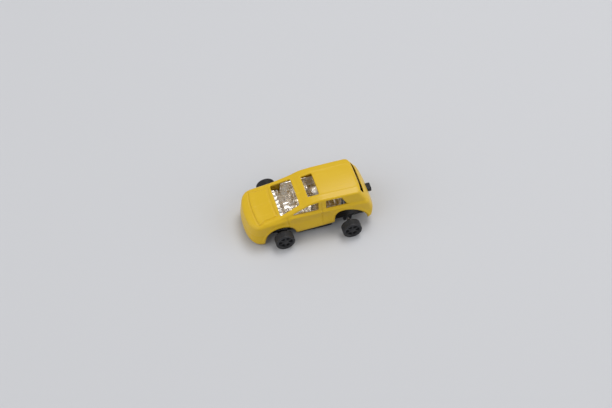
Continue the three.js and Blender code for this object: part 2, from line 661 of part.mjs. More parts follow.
function interiorTray() {
  const rim = BELT_Z - TRAY_RIM_BELOW_BELT;
  const floor = rectangle(TRAY_NOTCH, TRAY_FRONT, -TRAY_HALF, TRAY_HALF);
  const rearFloor = rectangle(TRAY_REAR, TRAY_NOTCH + TRAY_WALL, -BENCH_HALF_WIDTH, BENCH_HALF_WIDTH);
  const pieces = [
    prismAlongZ(floor, TRAY_FLOOR_Z, TRAY_FLOOR_Z + TRAY_WALL),
    prismAlongZ(rearFloor, TRAY_FLOOR_Z, TRAY_FLOOR_Z + TRAY_WALL),
    prismAlongY(dashShape(), -TRAY_HALF, TRAY_HALF),
    prismAlongY(seatShape(TRAY_REAR + BENCH_LENGTH, TRAY_REAR), -BENCH_HALF_WIDTH, BENCH_HALF_WIDTH),
    steeringWheel(),
  ];
  for (const side of [1, -1]) {
    const middle = side * SEAT_SPREAD;
    const seat = seatShape(SEAT_FRONT, SEAT_FRONT - SEAT_LENGTH);
    pieces.push(prismAlongY(seat, middle - SEAT_HALF_WIDTH, middle + SEAT_HALF_WIDTH));
    const outside = side * (TRAY_HALF - TRAY_WALL / 2);
    const wall = rectangle(TRAY_NOTCH, FRONT_WINDOW_TIP + TRAY_WALL, TRAY_FLOOR_Z, rim);
    pieces.push(prismAlongY(wall, outside - TRAY_WALL / 2, outside + TRAY_WALL / 2));
  }
  return geometryOf(join(...pieces));
}

// Running gear: plain axles and one-piece wheels with a blind hub

const HUB_INNER = CHASSIS_HALF + AXLE_FLOAT + RUNNING_CLEARANCE; // hub's inner end, axle in the middle
const WHEEL_FACE = BODY_HALF_WIDTH + ARCH_FLARE + AXLE_FLOAT + WHEEL_GAP + WHEEL_WIDTH; // from the centreline
const BORE_END = WHEEL_FACE - HUB_CAP;
const BORE_RADIUS = (AXLE_RADIUS + RUNNING_CLEARANCE / 2) / Math.cos(Math.PI / WHEEL_FACETS);

function axle() {
  const half = BORE_END - RUNNING_CLEARANCE;
  return new THREE.CylinderGeometry(AXLE_RADIUS, AXLE_RADIUS, 2 * half, WHEEL_FACETS);
}

function pocketShape() {
  const shape = new THREE.Shape();
  const [inner, outer] = [HUB_RADIUS + EDGE_ROUND, RIM_RADIUS - EDGE_ROUND];
  const innerHalf = Math.PI / SPOKES - Math.asin(SPOKE_WIDTH / 2 / inner);
  const outerHalf = Math.PI / SPOKES - Math.asin(SPOKE_WIDTH / 2 / outer);
  shape.absarc(0, 0, outer, -outerHalf, outerHalf);
  shape.absarc(0, 0, inner, innerHalf, -innerHalf, true);
  return shape;
}

// A wheel for the left side, turned about its own axis, its outer face looking along +y
function wheel() {
  const face = WHEEL_FACE;
  const inside = face - WHEEL_WIDTH;
  const dish = face - DISH_DEPTH;
  const web = dish - WEB_THICKNESS;
  const bowl = WHEEL_RADIUS - TREAD_THICKNESS;
  const profile = [
    [0, BORE_END], [BORE_RADIUS, BORE_END], [BORE_RADIUS, HUB_INNER], [HUB_RADIUS, HUB_INNER],
    [HUB_RADIUS, web], [bowl, web], [bowl, inside], [WHEEL_RADIUS - EDGE_ROUND, inside],
    [WHEEL_RADIUS, inside + EDGE_ROUND],
  ];
  for (let i = 1; i <= TREAD_GROOVES; i += 1) {
    const middle = inside + (WHEEL_WIDTH * i) / (TREAD_GROOVES + 1);
    const [low, high] = [middle - TREAD_GROOVE_WIDTH / 2, middle + TREAD_GROOVE_WIDTH / 2];
    const floor = WHEEL_RADIUS - TREAD_GROOVE_DEPTH;
    profile.push([WHEEL_RADIUS, low], [floor, low], [floor, high], [WHEEL_RADIUS, high]);
  }
  profile.push(
    [WHEEL_RADIUS, face - EDGE_ROUND], [WHEEL_RADIUS - EDGE_ROUND, face], [RIM_RADIUS, face],
    [RIM_RADIUS - EDGE_ROUND, dish], [HUB_RADIUS + EDGE_ROUND, dish], [HUB_RADIUS, face - DISH_DEPTH / 3],
    [0, face - DISH_DEPTH / 3],
  );
  const lathe = new THREE.LatheGeometry(profile.map(([r, a]) => new THREE.Vector2(r, a)), WHEEL_FACETS);
  let turned = solid(lathe);
  for (let i = 0; i < SPOKES; i += 1) {
    const pocket = prismAlongY(pocketShape(), dish - POCKET_DEPTH, face).rotateY((2 * Math.PI * i) / SPOKES);
    turned = turned.subtract(solid(pocket));
  }
  return geometryOf(turned).rotateY(Math.PI / WHEEL_FACETS);
}

// Assembly

const plastic = (color, roughness) => new THREE.MeshStandardMaterial({ color, roughness, metalness: 0 });
const metal = (color, roughness) => new THREE.MeshStandardMaterial({ color, roughness, metalness: 1 });

const car = new THREE.Group();
car.position.x = -(NOSE + CATCH_TIP) / 2; // the middle of the whole length goes to x = 0

function addMesh(parent, name, geometry, material) {
  const mesh = new THREE.Mesh(geometry, material);
  mesh.name = name;
  parent.add(mesh);
  return mesh;
}

addMesh(car, 'body_shell', body(), plastic('#e3b81f', 0.35));
addMesh(car, 'interior_tray', interiorTray(), metal('#cfcdc8', 0.18));
addMesh(car, 'chassis', chassis(), plastic('#17171a', 0.5));

// The front pair of wheels stands pushed to the right, the rear pair to the left
for (const [end, x, shift] of [['front', 0, -AXLE_FLOAT], ['rear', -WHEELBASE, AXLE_FLOAT]]) {
  const pair = new THREE.Group();
  pair.position.set(x, shift, AXLE_Z);
  addMesh(pair, `${end}_axle`, axle(), metal('#b9babd', 0.3));
  addMesh(pair, `${end}_left_wheel`, wheel(), plastic('#1c1d20', 0.55));
  addMesh(pair, `${end}_right_wheel`, wheel(), plastic('#1c1d20', 0.55)).rotation.z = Math.PI;
  car.add(pair);
}

export default car;
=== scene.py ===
import math

import bmesh
import bpy
import numpy as np
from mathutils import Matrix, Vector


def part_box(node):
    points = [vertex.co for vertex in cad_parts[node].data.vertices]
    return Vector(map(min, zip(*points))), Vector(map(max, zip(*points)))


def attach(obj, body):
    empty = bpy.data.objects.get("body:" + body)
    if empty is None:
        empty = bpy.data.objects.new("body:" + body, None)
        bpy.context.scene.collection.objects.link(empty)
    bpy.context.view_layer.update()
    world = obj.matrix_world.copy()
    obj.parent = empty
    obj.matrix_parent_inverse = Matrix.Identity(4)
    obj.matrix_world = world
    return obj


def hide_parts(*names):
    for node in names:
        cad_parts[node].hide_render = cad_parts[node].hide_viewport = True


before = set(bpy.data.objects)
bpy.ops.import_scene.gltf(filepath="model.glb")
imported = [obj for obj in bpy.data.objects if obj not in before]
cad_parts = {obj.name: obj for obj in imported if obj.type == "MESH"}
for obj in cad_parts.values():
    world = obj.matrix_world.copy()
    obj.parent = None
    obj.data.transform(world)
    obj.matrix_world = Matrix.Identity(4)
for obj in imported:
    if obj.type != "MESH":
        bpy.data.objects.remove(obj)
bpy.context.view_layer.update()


# Camera. It stands high off the car's front left corner, as the photograph was taken, with a long lens,
# so the small toy fills about a fifth of the frame.
CAMERA_AZIMUTH = math.radians(163.7)
CAMERA_ELEVATION = math.radians(51.5)
CAMERA_DISTANCE = 0.708
CAMERA_LENS = 88.76
CAMERA_SENSOR = 36.0
CAMERA_NEAR = 0.01
CAMERA_TARGET = Vector((0.00038, 0.00023, 0.008))


def linked_object(name, data):
    """New object of the scene that shows the given data."""
    thing = bpy.data.objects.new(name, data)
    bpy.context.scene.collection.objects.link(thing)
    return thing


towards_camera = Vector((
    math.sin(CAMERA_AZIMUTH) * math.cos(CAMERA_ELEVATION),
    -math.cos(CAMERA_AZIMUTH) * math.cos(CAMERA_ELEVATION),
    math.sin(CAMERA_ELEVATION),
))
lens = bpy.data.cameras.new("photo_lens")
lens.lens = CAMERA_LENS
lens.sensor_width = CAMERA_SENSOR
lens.sensor_fit = "HORIZONTAL"
lens.clip_start = CAMERA_NEAR
camera = linked_object("photo_camera", lens)
camera.location = CAMERA_TARGET + towards_camera * CAMERA_DISTANCE
camera.rotation_euler = towards_camera.to_track_quat("Z", "Y").to_euler()
bpy.context.scene.camera = camera


# Floor pan. One black moulding that closes the car from below: a plate with a deeper belly between the
# wheels, four axle forks, a front tongue behind the bumper and a catch that snaps out through the tail.
MM = 0.001
PAN_COLOUR = (0.006, 0.006, 0.007, 1.0)
PAN_WORN = (0.022, 0.022, 0.025, 1.0)
PAN_GRAIN = (140.0, 2600.0, 160.0)
PAN_EDGE = 0.3
PAN_EDGE_STEPS = 3
PAN_EDGE_ANGLE = math.radians(35)
FLAT_ANGLE = math.radians(1)
CAD_WELD = 0.001
GRAIN_SCALES = ("Mottle Scale", "Peel Scale", "Scuff Scale")
SCUFF_TURN = (0.4, 0.2, 0.7)
SCUFF_STRETCH = (1.0, 14.0, 5.0)
SCUFF_RANGE = (0.6, 0.74)
WEAR_SHARE = 0.5


def moulded_skin():
    """Node group shared by every moulded piece: a slow mottle in the resin, a fine orange peel and
    thin scuffs."""
    group = bpy.data.node_groups.new("moulded_skin", "ShaderNodeTree")
    for name in GRAIN_SCALES:
        group.interface.new_socket(name, in_out="INPUT", socket_type="NodeSocketFloat")
    for name in ("Mottle", "Peel", "Scuff"):
        group.interface.new_socket(name, in_out="OUTPUT", socket_type="NodeSocketFloat")
    nodes, links = group.nodes, group.links
    inputs = nodes.new("NodeGroupInput")
    outputs = nodes.new("NodeGroupOutput")
    place = nodes.new("ShaderNodeTexCoord")

    for name, detail in (("Mottle", 3.0), ("Peel", 2.0)):
        noise = nodes.new("ShaderNodeTexNoise")
        noise.inputs["Detail"].default_value = detail
        links.new(place.outputs["Object"], noise.inputs["Vector"])
        links.new(inputs.outputs[f"{name} Scale"], noise.inputs["Scale"])
        links.new(noise.outputs["Fac"], outputs.inputs[name])

    stretch = nodes.new("ShaderNodeMapping")
    stretch.inputs["Rotation"].default_value = SCUFF_TURN
    stretch.inputs["Scale"].default_value = SCUFF_STRETCH
    links.new(place.outputs["Object"], stretch.inputs["Vector"])
    scuff = nodes.new("ShaderNodeTexNoise")
    scuff.inputs["Detail"].default_value = 5.0
    links.new(stretch.outputs["Vector"], scuff.inputs["Vector"])
    links.new(inputs.outputs["Scuff Scale"], scuff.inputs["Scale"])
    thin = nodes.new("ShaderNodeMapRange")
    thin.inputs["From Min"].default_value = SCUFF_RANGE[0]
    thin.inputs["From Max"].default_value = SCUFF_RANGE[1]
    links.new(scuff.outputs["Fac"], thin.inputs["Value"])
    links.new(thin.outputs["Result"], outputs.inputs["Scuff"])
    return group


MOULDED_SKIN = moulded_skin()


def new_material(name):
    """New material, with its nodes, its links and its Principled shader."""
    material = bpy.data.materials.new(name)
    material.use_nodes = True
    tree = material.node_tree
    return material, tree.nodes, tree.links, tree.nodes["Principled BSDF"]


def moulded_material(
    name, colour, worn, scales, rough, rough_spread, peel_height,
    metallic=0.0, scuff_rough=0.2, specular=0.5,
):
    """Principled finish of a moulding: its colour drifts a little towards a worn tone with the mottle
    and the scuffs, its roughness spreads round a middle value, and the orange peel drives a bump."""
    material, nodes, links, shader = new_material(name)
    shader.inputs["Metallic"].default_value = metallic
    shader.inputs["Specular IOR Level"].default_value = specular
    grain = nodes.new("ShaderNodeGroup")
    grain.node_tree = MOULDED_SKIN
    for socket, value in zip(GRAIN_SCALES, scales):
        grain.inputs[socket].default_value = value

    wear = nodes.new("ShaderNodeMath")
    wear.operation = "MULTIPLY_ADD"
    wear.inputs[1].default_value = WEAR_SHARE
    links.new(grain.outputs["Scuff"], wear.inputs[0])
    faint = nodes.new("ShaderNodeMath")
    faint.operation = "MULTIPLY"
    faint.inputs[1].default_value = WEAR_SHARE
    links.new(grain.outputs["Mottle"], faint.inputs[0])
    links.new(faint.outputs[0], wear.inputs[2])
    tone = nodes.new("ShaderNodeMix")
    tone.data_type = "RGBA"
    tone.inputs["A"].default_value = colour
    tone.inputs["B"].default_value = worn
    links.new(wear.outputs[0], tone.inputs["Factor"])
    links.new(tone.outputs["Result"], shader.inputs["Base Color"])

    spread = nodes.new("ShaderNodeMapRange")
    spread.inputs["To Min"].default_value = rough - rough_spread
    spread.inputs["To Max"].default_value = rough + rough_spread
    links.new(grain.outputs["Mottle"], spread.inputs["Value"])
    dull = nodes.new("ShaderNodeMath")
    dull.operation = "MULTIPLY_ADD"
    dull.inputs[1].default_value = scuff_rough
    links.new(grain.outputs["Scuff"], dull.inputs[0])
    links.new(spread.outputs["Result"], dull.inputs[2])
    links.new(dull.outputs[0], shader.inputs["Roughness"])

    bump = nodes.new("ShaderNodeBump")
    bump.inputs["Strength"].default_value = 1.0
    bump.inputs["Distance"].default_value = peel_height * MM
    links.new(grain.outputs["Peel"], bump.inputs["Height"])
    links.new(bump.outputs["Normal"], shader.inputs["Normal"])
    return material


def finish_piece(piece, material, body, nodes):
    """Gives a piece its material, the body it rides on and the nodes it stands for."""
    piece.data.materials.clear()
    piece.data.materials.append(material)
    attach(piece, body)
    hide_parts(*nodes)


def softened_copy(name, node, edge):
    """Copy of a flat-faced CAD moulding with its triangles merged back into faces and every edge
    rounded."""
    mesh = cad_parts[node].data.copy()
    mesh.name = name
    work = bmesh.new()
    work.from_mesh(mesh)
    bmesh.ops.remove_doubles(work, verts=work.verts, dist=CAD_WELD * MM)
    bmesh.ops.dissolve_limit(
        work, angle_limit=FLAT_ANGLE, verts=work.verts, edges=work.edges, use_dissolve_boundaries=False,
    )
    work.to_mesh(mesh)
    work.free()
    piece = linked_object(name, mesh)
    rounding = piece.modifiers.new("moulded_edges", "BEVEL")
    rounding.width = edge * MM
    rounding.segments = PAN_EDGE_STEPS
    rounding.limit_method = "ANGLE"
    rounding.angle_limit = PAN_EDGE_ANGLE
    rounding.harden_normals = True
    mesh.polygons.foreach_set("use_smooth", np.ones(len(mesh.polygons), bool))
    return piece


black_plastic = moulded_material(
    "black_plastic", PAN_COLOUR, PAN_WORN, PAN_GRAIN,
    rough=0.42, rough_spread=0.08, peel_height=0.012, specular=0.3,
)
floor_pan = softened_copy("floor_pan", "chassis", PAN_EDGE)
finish_piece(floor_pan, black_plastic, "car", ["chassis"])


# Axles. Two drawn steel pins with lightly chamfered ends, snapped up into the pan's forks, where they
# turn and can shift sideways.
STEEL_COLOUR = (0.42, 0.42, 0.43, 1.0)
STEEL_BRIGHT = (0.6, 0.6, 0.6, 1.0)
STEEL_ROUGH = (0.18, 0.42)
DRAWN_LINES = 9000.0
DRAWN_SQUEEZE = (1.0, 0.04, 1.0)
AXLE_CHAMFER = 0.12
AXLE_SIDES = 48
AXLE_SHARP_ANGLE = math.radians(30)
WELD_DECIMALS = 4


def grid_triangles(rows, columns, wrap):
    """Two triangles for each cell of a grid of points, with the last column joined to the first where
    wrap is true."""
    across = np.arange(columns if wrap else columns - 1)
    down = np.arange(rows - 1)[:, None]
    a = down * columns + across
    b = a + columns
    c = (down + 1) * columns + (across + 1) % columns
    d = down * columns + (across + 1) % columns
    return np.concatenate([np.stack([a, b, c], -1), np.stack([a, c, d], -1)]).reshape(-1, 3)


def welded(points, triangles):
    """Merges points that lie in one place, such as a pole's or a seam's, and drops the triangles that
    collapse."""
    keys = np.round(points, WELD_DECIMALS)
    _, first, where = np.unique(keys, axis=0, return_index=True, return_inverse=True)
    merged = where.reshape(-1)[triangles]
    whole = np.all(merged != np.roll(merged, 1, axis=1), axis=1)
    return points[first], merged[whole]


def add_piece(name, points, triangles):
    """Smooth mesh object from points in millimetres and corner numbers of its triangles."""
    points, triangles = welded(np.asarray(points, float).reshape(-1, 3), triangles)
    mesh = bpy.data.meshes.new(name)
    mesh.vertices.add(len(points))
    mesh.vertices.foreach_set("co", (points * MM).astype(np.float32).ravel())
    mesh.loops.add(triangles.size)
    mesh.loops.foreach_set("vertex_index", triangles.astype(np.int32).ravel())
    mesh.polygons.add(len(triangles))
    mesh.polygons.foreach_set("loop_start", np.arange(0, triangles.size, 3, dtype=np.int32))
    mesh.polygons.foreach_set("use_smooth", np.ones(len(triangles), bool))
    mesh.update(calc_edges=True)
    mesh.validate()
    return linked_object(name, mesh)


def turned(radius, along, sides):
    """Surface of revolution about the Y axis: a profile's radius and its place along the axis, each one
    number a row or one a row and side, carried round the full circle."""
    turn = 2 * np.pi * np.arange(sides) / sides
    radius = np.broadcast_to(np.asarray(radius, float).reshape(len(radius), -1), (len(radius), sides))
    along = np.broadcast_to(np.asarray(along, float).reshape(len(along), -1), (len(along), sides))
    points = np.stack([radius * np.sin(turn), along, radius * np.cos(turn)], -1)
    return points, grid_triangles(len(radius), sides, True)


def node_box(node):
    """A CAD node's lowest and highest corner in millimetres."""
    low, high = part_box(node)
    return np.array(low) / MM, np.array(high) / MM


def steel_material():
    """Drawn steel: noise squeezed along the pin gives fine lines in its roughness and in its tone."""
    material, nodes, links, shader = new_material("drawn_steel")
    shader.inputs["Metallic"].default_value = 1.0
    place = nodes.new("ShaderNodeTexCoord")
    squeeze = nodes.new("ShaderNodeMapping")
    squeeze.inputs["Scale"].default_value = DRAWN_SQUEEZE
    links.new(place.outputs["Object"], squeeze.inputs["Vector"])
    lines = nodes.new("ShaderNodeTexNoise")
    lines.inputs["Scale"].default_value = DRAWN_LINES
    links.new(squeeze.outputs["Vector"], lines.inputs["Vector"])
    rough = nodes.new("ShaderNodeMapRange")
    rough.inputs["To Min"].default_value = STEEL_ROUGH[0]
    rough.inputs["To Max"].default_value = STEEL_ROUGH[1]
    links.new(lines.outputs["Fac"], rough.inputs["Value"])
    links.new(rough.outputs["Result"], shader.inputs["Roughness"])
    tone = nodes.new("ShaderNodeMix")
    tone.data_type = "RGBA"
    tone.inputs["A"].default_value = STEEL_COLOUR
    tone.inputs["B"].default_value = STEEL_BRIGHT
    links.new(lines.outputs["Fac"], tone.inputs["Factor"])
    links.new(tone.outputs["Result"], shader.inputs["Base Color"])
    return material


drawn_steel = steel_material()
for end in ("front", "rear"):
    low, high = node_box(f"{end}_axle")
    middle = (low + high) / 2
    pin_radius = (high[2] - low[2]) / 2
    half = (high[1] - low[1]) / 2
    pin, faces = turned(
        [0, pin_radius - AXLE_CHAMFER, pin_radius, pin_radius, pin_radius - AXLE_CHAMFER, 0],
        [-half, -half, AXLE_CHAMFER - half, half - AXLE_CHAMFER, half, half],
        AXLE_SIDES,
    )
    axle = add_piece(f"{end}_pin_steel", pin + middle, faces[:, ::-1])
    axle.data.set_sharp_from_angle(angle=AXLE_SHARP_ANGLE)
    finish_piece(axle, drawn_steel, f"{end}_pin", [f"{end}_axle"])


# Wheels. Each is one black moulding pressed on its pin: a ribbed tread, a raised rim ring, a dished face
# with six sunk pockets between its spokes, and a long hub boss on the inside.
WHEEL_COLOUR = (0.010, 0.010, 0.012, 1.0)
WHEEL_WORN = (0.05, 0.05, 0.055, 1.0)
WHEEL_GRAIN = (220.0, 2200.0, 260.0)
WHEEL_SIDES = 144
RIM_BAND = 1.0
DISH = 0.45
HUB = 1.3
HUB_FOOT = 0.12
HUB_CAP = 0.9
HUB_RISE = 0.3
BORE = 0.65
FACE_GAP = 0.2
RIM_FOOT = 0.3
FACE_ROWS = 34
EDGE = 0.35
EDGE_ROWS = 7
WEB = 1.5
WEB_FILLET = 0.4
WELL_DRAFT = 0.05
WELL_LIP = 0.2
BOSS_REACH = 2.5
BOSS_CHAMFER = 0.1
TREAD_WALL = 0.9
TREAD_ROWS = 61
TREAD_RIBS = 5
RIB_DEPTH = 0.22
RIB_FLAT = 0.25
RIB_RISE = 0.5
RIB_ENDS = (0.03, 0.12)
SPOKES = 6
SPOKE_WIDTH = 0.6
POCKET_DEPTH = 0.9
POCKET_ROUND = 0.3
POCKET_SLOPE = 0.22

# Points of the flank that climbs from the dished face to the rim ring: way out from the rim, and depth
RING_FLANK = np.array([(-0.22, 0.36), (-0.08, 0.135), (0.0, 0.06), (0.1, 0.0)])


def smooth_step(value, start, end):
    """0 before start, 1 after end, and an S-shaped cubic between them."""
    t = np.clip((value - start) / (end - start), 0, 1)
    return t * t * (3 - 2 * t)


def rounded_cut(along, across, radius):
    """Distance to a cut with rounded corners, negative inside, from the distances past its ends and
    past its sides."""
    a = along + radius
    b = across + radius
    return np.hypot(np.maximum(a, 0), np.maximum(b, 0)) + np.minimum(np.maximum(a, b), 0) - radius


def wheel_surface(tyre, width, boss):
    """Profile of a wheel, from the middle of its outer face over the tread to the blind end of its bore,
    turned about the axis. The face's pockets sink by a smooth step of the distance inside a rounded cut
    between spokes."""
    rim = tyre - RIM_BAND
    well = tyre - TREAD_WALL
    web = -DISH - WEB
    face_start = HUB + FACE_GAP
    face_end = rim - RIM_FOOT
    arc = np.linspace(0, np.pi / 2, EDGE_ROWS)
    hub_r = np.concatenate([HUB * np.sin(arc), [HUB + HUB_FOOT]])
    hub_a = np.concatenate([HUB_RISE * np.cos(arc) - DISH, [-DISH]])
    face_r = np.linspace(face_start, face_end, FACE_ROWS)
    face_a = np.full_like(face_r, -DISH)
    ring_r = np.concatenate([rim + RING_FLANK[:, 0], tyre - EDGE + EDGE * np.sin(arc)])
    ring_a = np.concatenate([-RING_FLANK[:, 1], EDGE * np.cos(arc) - EDGE])
    share = np.linspace(0, 1, TREAD_ROWS)[1:-1]
    dips = np.clip(np.cos(2 * np.pi * TREAD_RIBS * share) - RIB_FLAT, 0, RIB_RISE) / RIB_RISE
    tread_r = tyre - RIB_DEPTH * dips * smooth_step(np.minimum(share, 1 - share), *RIB_ENDS)
    tread_a = -EDGE - share * (width - 2 * EDGE)
    back_r = np.concatenate([tyre - EDGE + EDGE * np.cos(arc), [well, well - WELL_DRAFT]])
    back_a = np.concatenate([EDGE - width - EDGE * np.sin(arc), [-width, WELL_LIP - width]])
    inside_r = [well - 2 * WELL_DRAFT, well - WEB_FILLET, HUB + WEB_FILLET, HUB, HUB, HUB - BOSS_CHAMFER]
    inside_a = [web - WEB_FILLET, web, web, web - WEB_FILLET, BOSS_CHAMFER - boss, -boss]
    bore_r = [BORE, BORE, 0.0]
    bore_a = [-boss, -HUB_CAP, -HUB_CAP]
    radius = np.concatenate([hub_r, face_r, ring_r, tread_r, back_r, inside_r, bore_r])
    along = np.concatenate([hub_a, face_a, ring_a, tread_a, back_a, inside_a, bore_a])
    turn = 2 * np.pi * np.arange(WHEEL_SIDES) / WHEEL_SIDES
    off_spoke = (turn + np.pi / SPOKES) % (2 * np.pi / SPOKES) - np.pi / SPOKES
    r = radius[:, None]
    ends = np.maximum(face_start - r, r - face_end)
    sides = SPOKE_WIDTH / 2 - np.abs(r * np.sin(off_spoke))
    inside_pocket = -rounded_cut(ends, sides, POCKET_ROUND)
    on_face = (along >= -DISH)[:, None] & (r <= face_end)
    sink = np.where(on_face, POCKET_DEPTH * smooth_step(inside_pocket, 0, POCKET_SLOPE), 0)
    return turned(radius, along[:, None] - sink, WHEEL_SIDES)


wheel_plastic = moulded_material(
    "wheel_plastic", WHEEL_COLOUR, WHEEL_WORN, WHEEL_GRAIN,
    rough=0.45, rough_spread=0.1, peel_height=0.014, specular=0.32,
)
for end in ("front", "rear"):
    pin_low, pin_high = node_box(f"{end}_axle")
    for side, sign in (("left", 1), ("right", -1)):
        low, high = node_box(f"{end}_{side}_wheel")
        tyre = (high[0] - low[0]) / 2
        outer_face = high[1] if sign > 0 else low[1]
        boss = high[1] - low[1]
        surface, faces = wheel_surface(tyre, boss - BOSS_REACH, boss)
        surface = surface * [1, sign, 1]
        middle = [(pin_low[0] + pin_high[0]) / 2, outer_face, (pin_low[2] + pin_high[2]) / 2]
        wheel = add_piece(f"{end}_{side}_moulded_wheel", surface + middle, faces[:, ::sign])
        finish_piece(wheel, wheel_plastic, f"{end}_wheels", [f"{end}_{side}_wheel"])


# Cabin tray. One thin moulding that drops into the body: floor, dashboard, seats, bench and door cards,
# with no undercuts, plated bright all over. A steering wheel stands on the left of its dashboard.
CHROME_COLOUR = (0.92, 0.89, 0.85, 1.0)
CHROME_WORN = (0.86, 0.78, 0.64, 1.0)
CHROME_GRAIN = (260.0, 1050.0, 300.0)
TRAY_STEP = 0.16
TRAY_FLOOR = 0.8
FOOTWELL = 2.2
PEDAL_RAMP = 0.7
PEDAL_HALF = 2.2
PEDAL_LENGTH = 2.4
DASH_TOP = 13.2
DASH_DEPTH = 5.0
DASH_CORNER = 1.7
DASH_FALL = 1.5
DASH_LEVEL = 2.2
KNOB_HEIGHT = 0.42
KNOB_PITCH = 2.5
KNOB_ROW = (2.6, 1.2)
BINNACLE_HEIGHT = 0.5
BINNACLE_AHEAD = 1.4
BINNACLE_SPREAD = (1.1, 1.9)
VENT_DEPTH = 0.35
VENT_SPREAD = 6.9
VENT_HALF = 0.8
VENT_AHEAD = (0.9, 1.9)
CONSOLE_HEIGHT = 2.3
CONSOLE_HALF = 0.9
CONSOLE_OVERLAP = (6.0, 1.0)
LEVER_HEIGHT = 1.3
LEVER_PLACE = -6.9
LEVER_SPREAD = 0.3
FRONT_SEAT_AHEAD = -9.0
FRONT_SEAT_LENGTH = 7.6
BENCH_LENGTH = 9.7
SEAT_SPREAD = 4.6
SEAT_HALF = 3.2
BENCH_HALF = 7.8
CUSHION = 3.6
CUSHION_FALL = 0.5
FLUTES = 3
FLUTE_HEIGHT = 0.16
BOLSTER_HEIGHT = 0.55
BOLSTER_SLOPE = (1.1, 0.3)
BACKREST = 2.0
BACKREST_PADDING = 0.25
SHOULDER_DROP = 0.9
SHOULDER_WIDTH = 1.4
CARD_TOP = 14.8
CARD_THICKNESS = 0.9
CARD_SLOPE = 0.35
CARD_FRONT = -4.9
ARMREST = 0.5
ARMREST_KNOTS = (-13.5, -8.0, -5.5)
NOTCH = -24.6
NOTCH_SOFT = 0.2
STEERING_RADIUS = 1.7
STEERING_TUBE = 0.26
STEERING_TILT = 0.45
STEERING_OUT = 1.2
STEERING_HUB = 0.62
STEERING_HUB_RISE = 0.25
STEERING_HUB_SKIRT = (0.15, 0.3)
STEERING_SPOKE = 0.2
STEERING_REACH = 1.45
COLUMN = 0.42
COLUMN_LENGTH = 2.6

front_axle_x = float(np.mean([corner[0] for corner in node_box("front_axle")]))
rear_axle_x = float(np.mean([corner[0] for corner in node_box("rear_axle")]))
tray_low, tray_high = node_box("interior_tray")


def mix(a, b, t):
    """Straight way from a to b."""
    return a + (b - a) * t


def plateau(value, start, end, soft):
    """1 between start and end, falling to 0 over a soft edge on either side."""
    return smooth_step(value, start - soft, start) * (1 - smooth_step(value, end, end + soft))


def seat_height(x, y, front, length, half, top):
    """Height over the floor of a seat: a cushion with three cross flutes and raised bolsters, and a
    backrest that climbs at its rear with an upright flute and rounded shoulders."""
    rear = front - length
    off_centre = np.abs(y)
    depth = (front - x) / (length - BACKREST)
    flutes = FLUTE_HEIGHT * np.cos(2 * np.pi * FLUTES * depth) * plateau(depth, 0.1, 0.9, soft=0.1)
    bolster = BOLSTER_HEIGHT * smooth_step(off_centre, half - BOLSTER_SLOPE[0], half - BOLSTER_SLOPE[1])
    cushion = CUSHION + flutes + bolster - CUSHION_FALL * depth
    cushion = cushion * plateau(x, rear, front - 0.2, soft=0.3)
    shoulder = SHOULDER_DROP * smooth_step(off_centre, half - SHOULDER_WIDTH, half)
    padding = BACKREST_PADDING * np.cos(2 * np.pi * y / half)
    back = (top - shoulder) * plateau(x, rear + 0.3, rear + BACKREST - 0.4 + padding, soft=0.45)
    return np.maximum(cushion, back) * plateau(y, -half + 0.2, half - 0.2, soft=0.25)


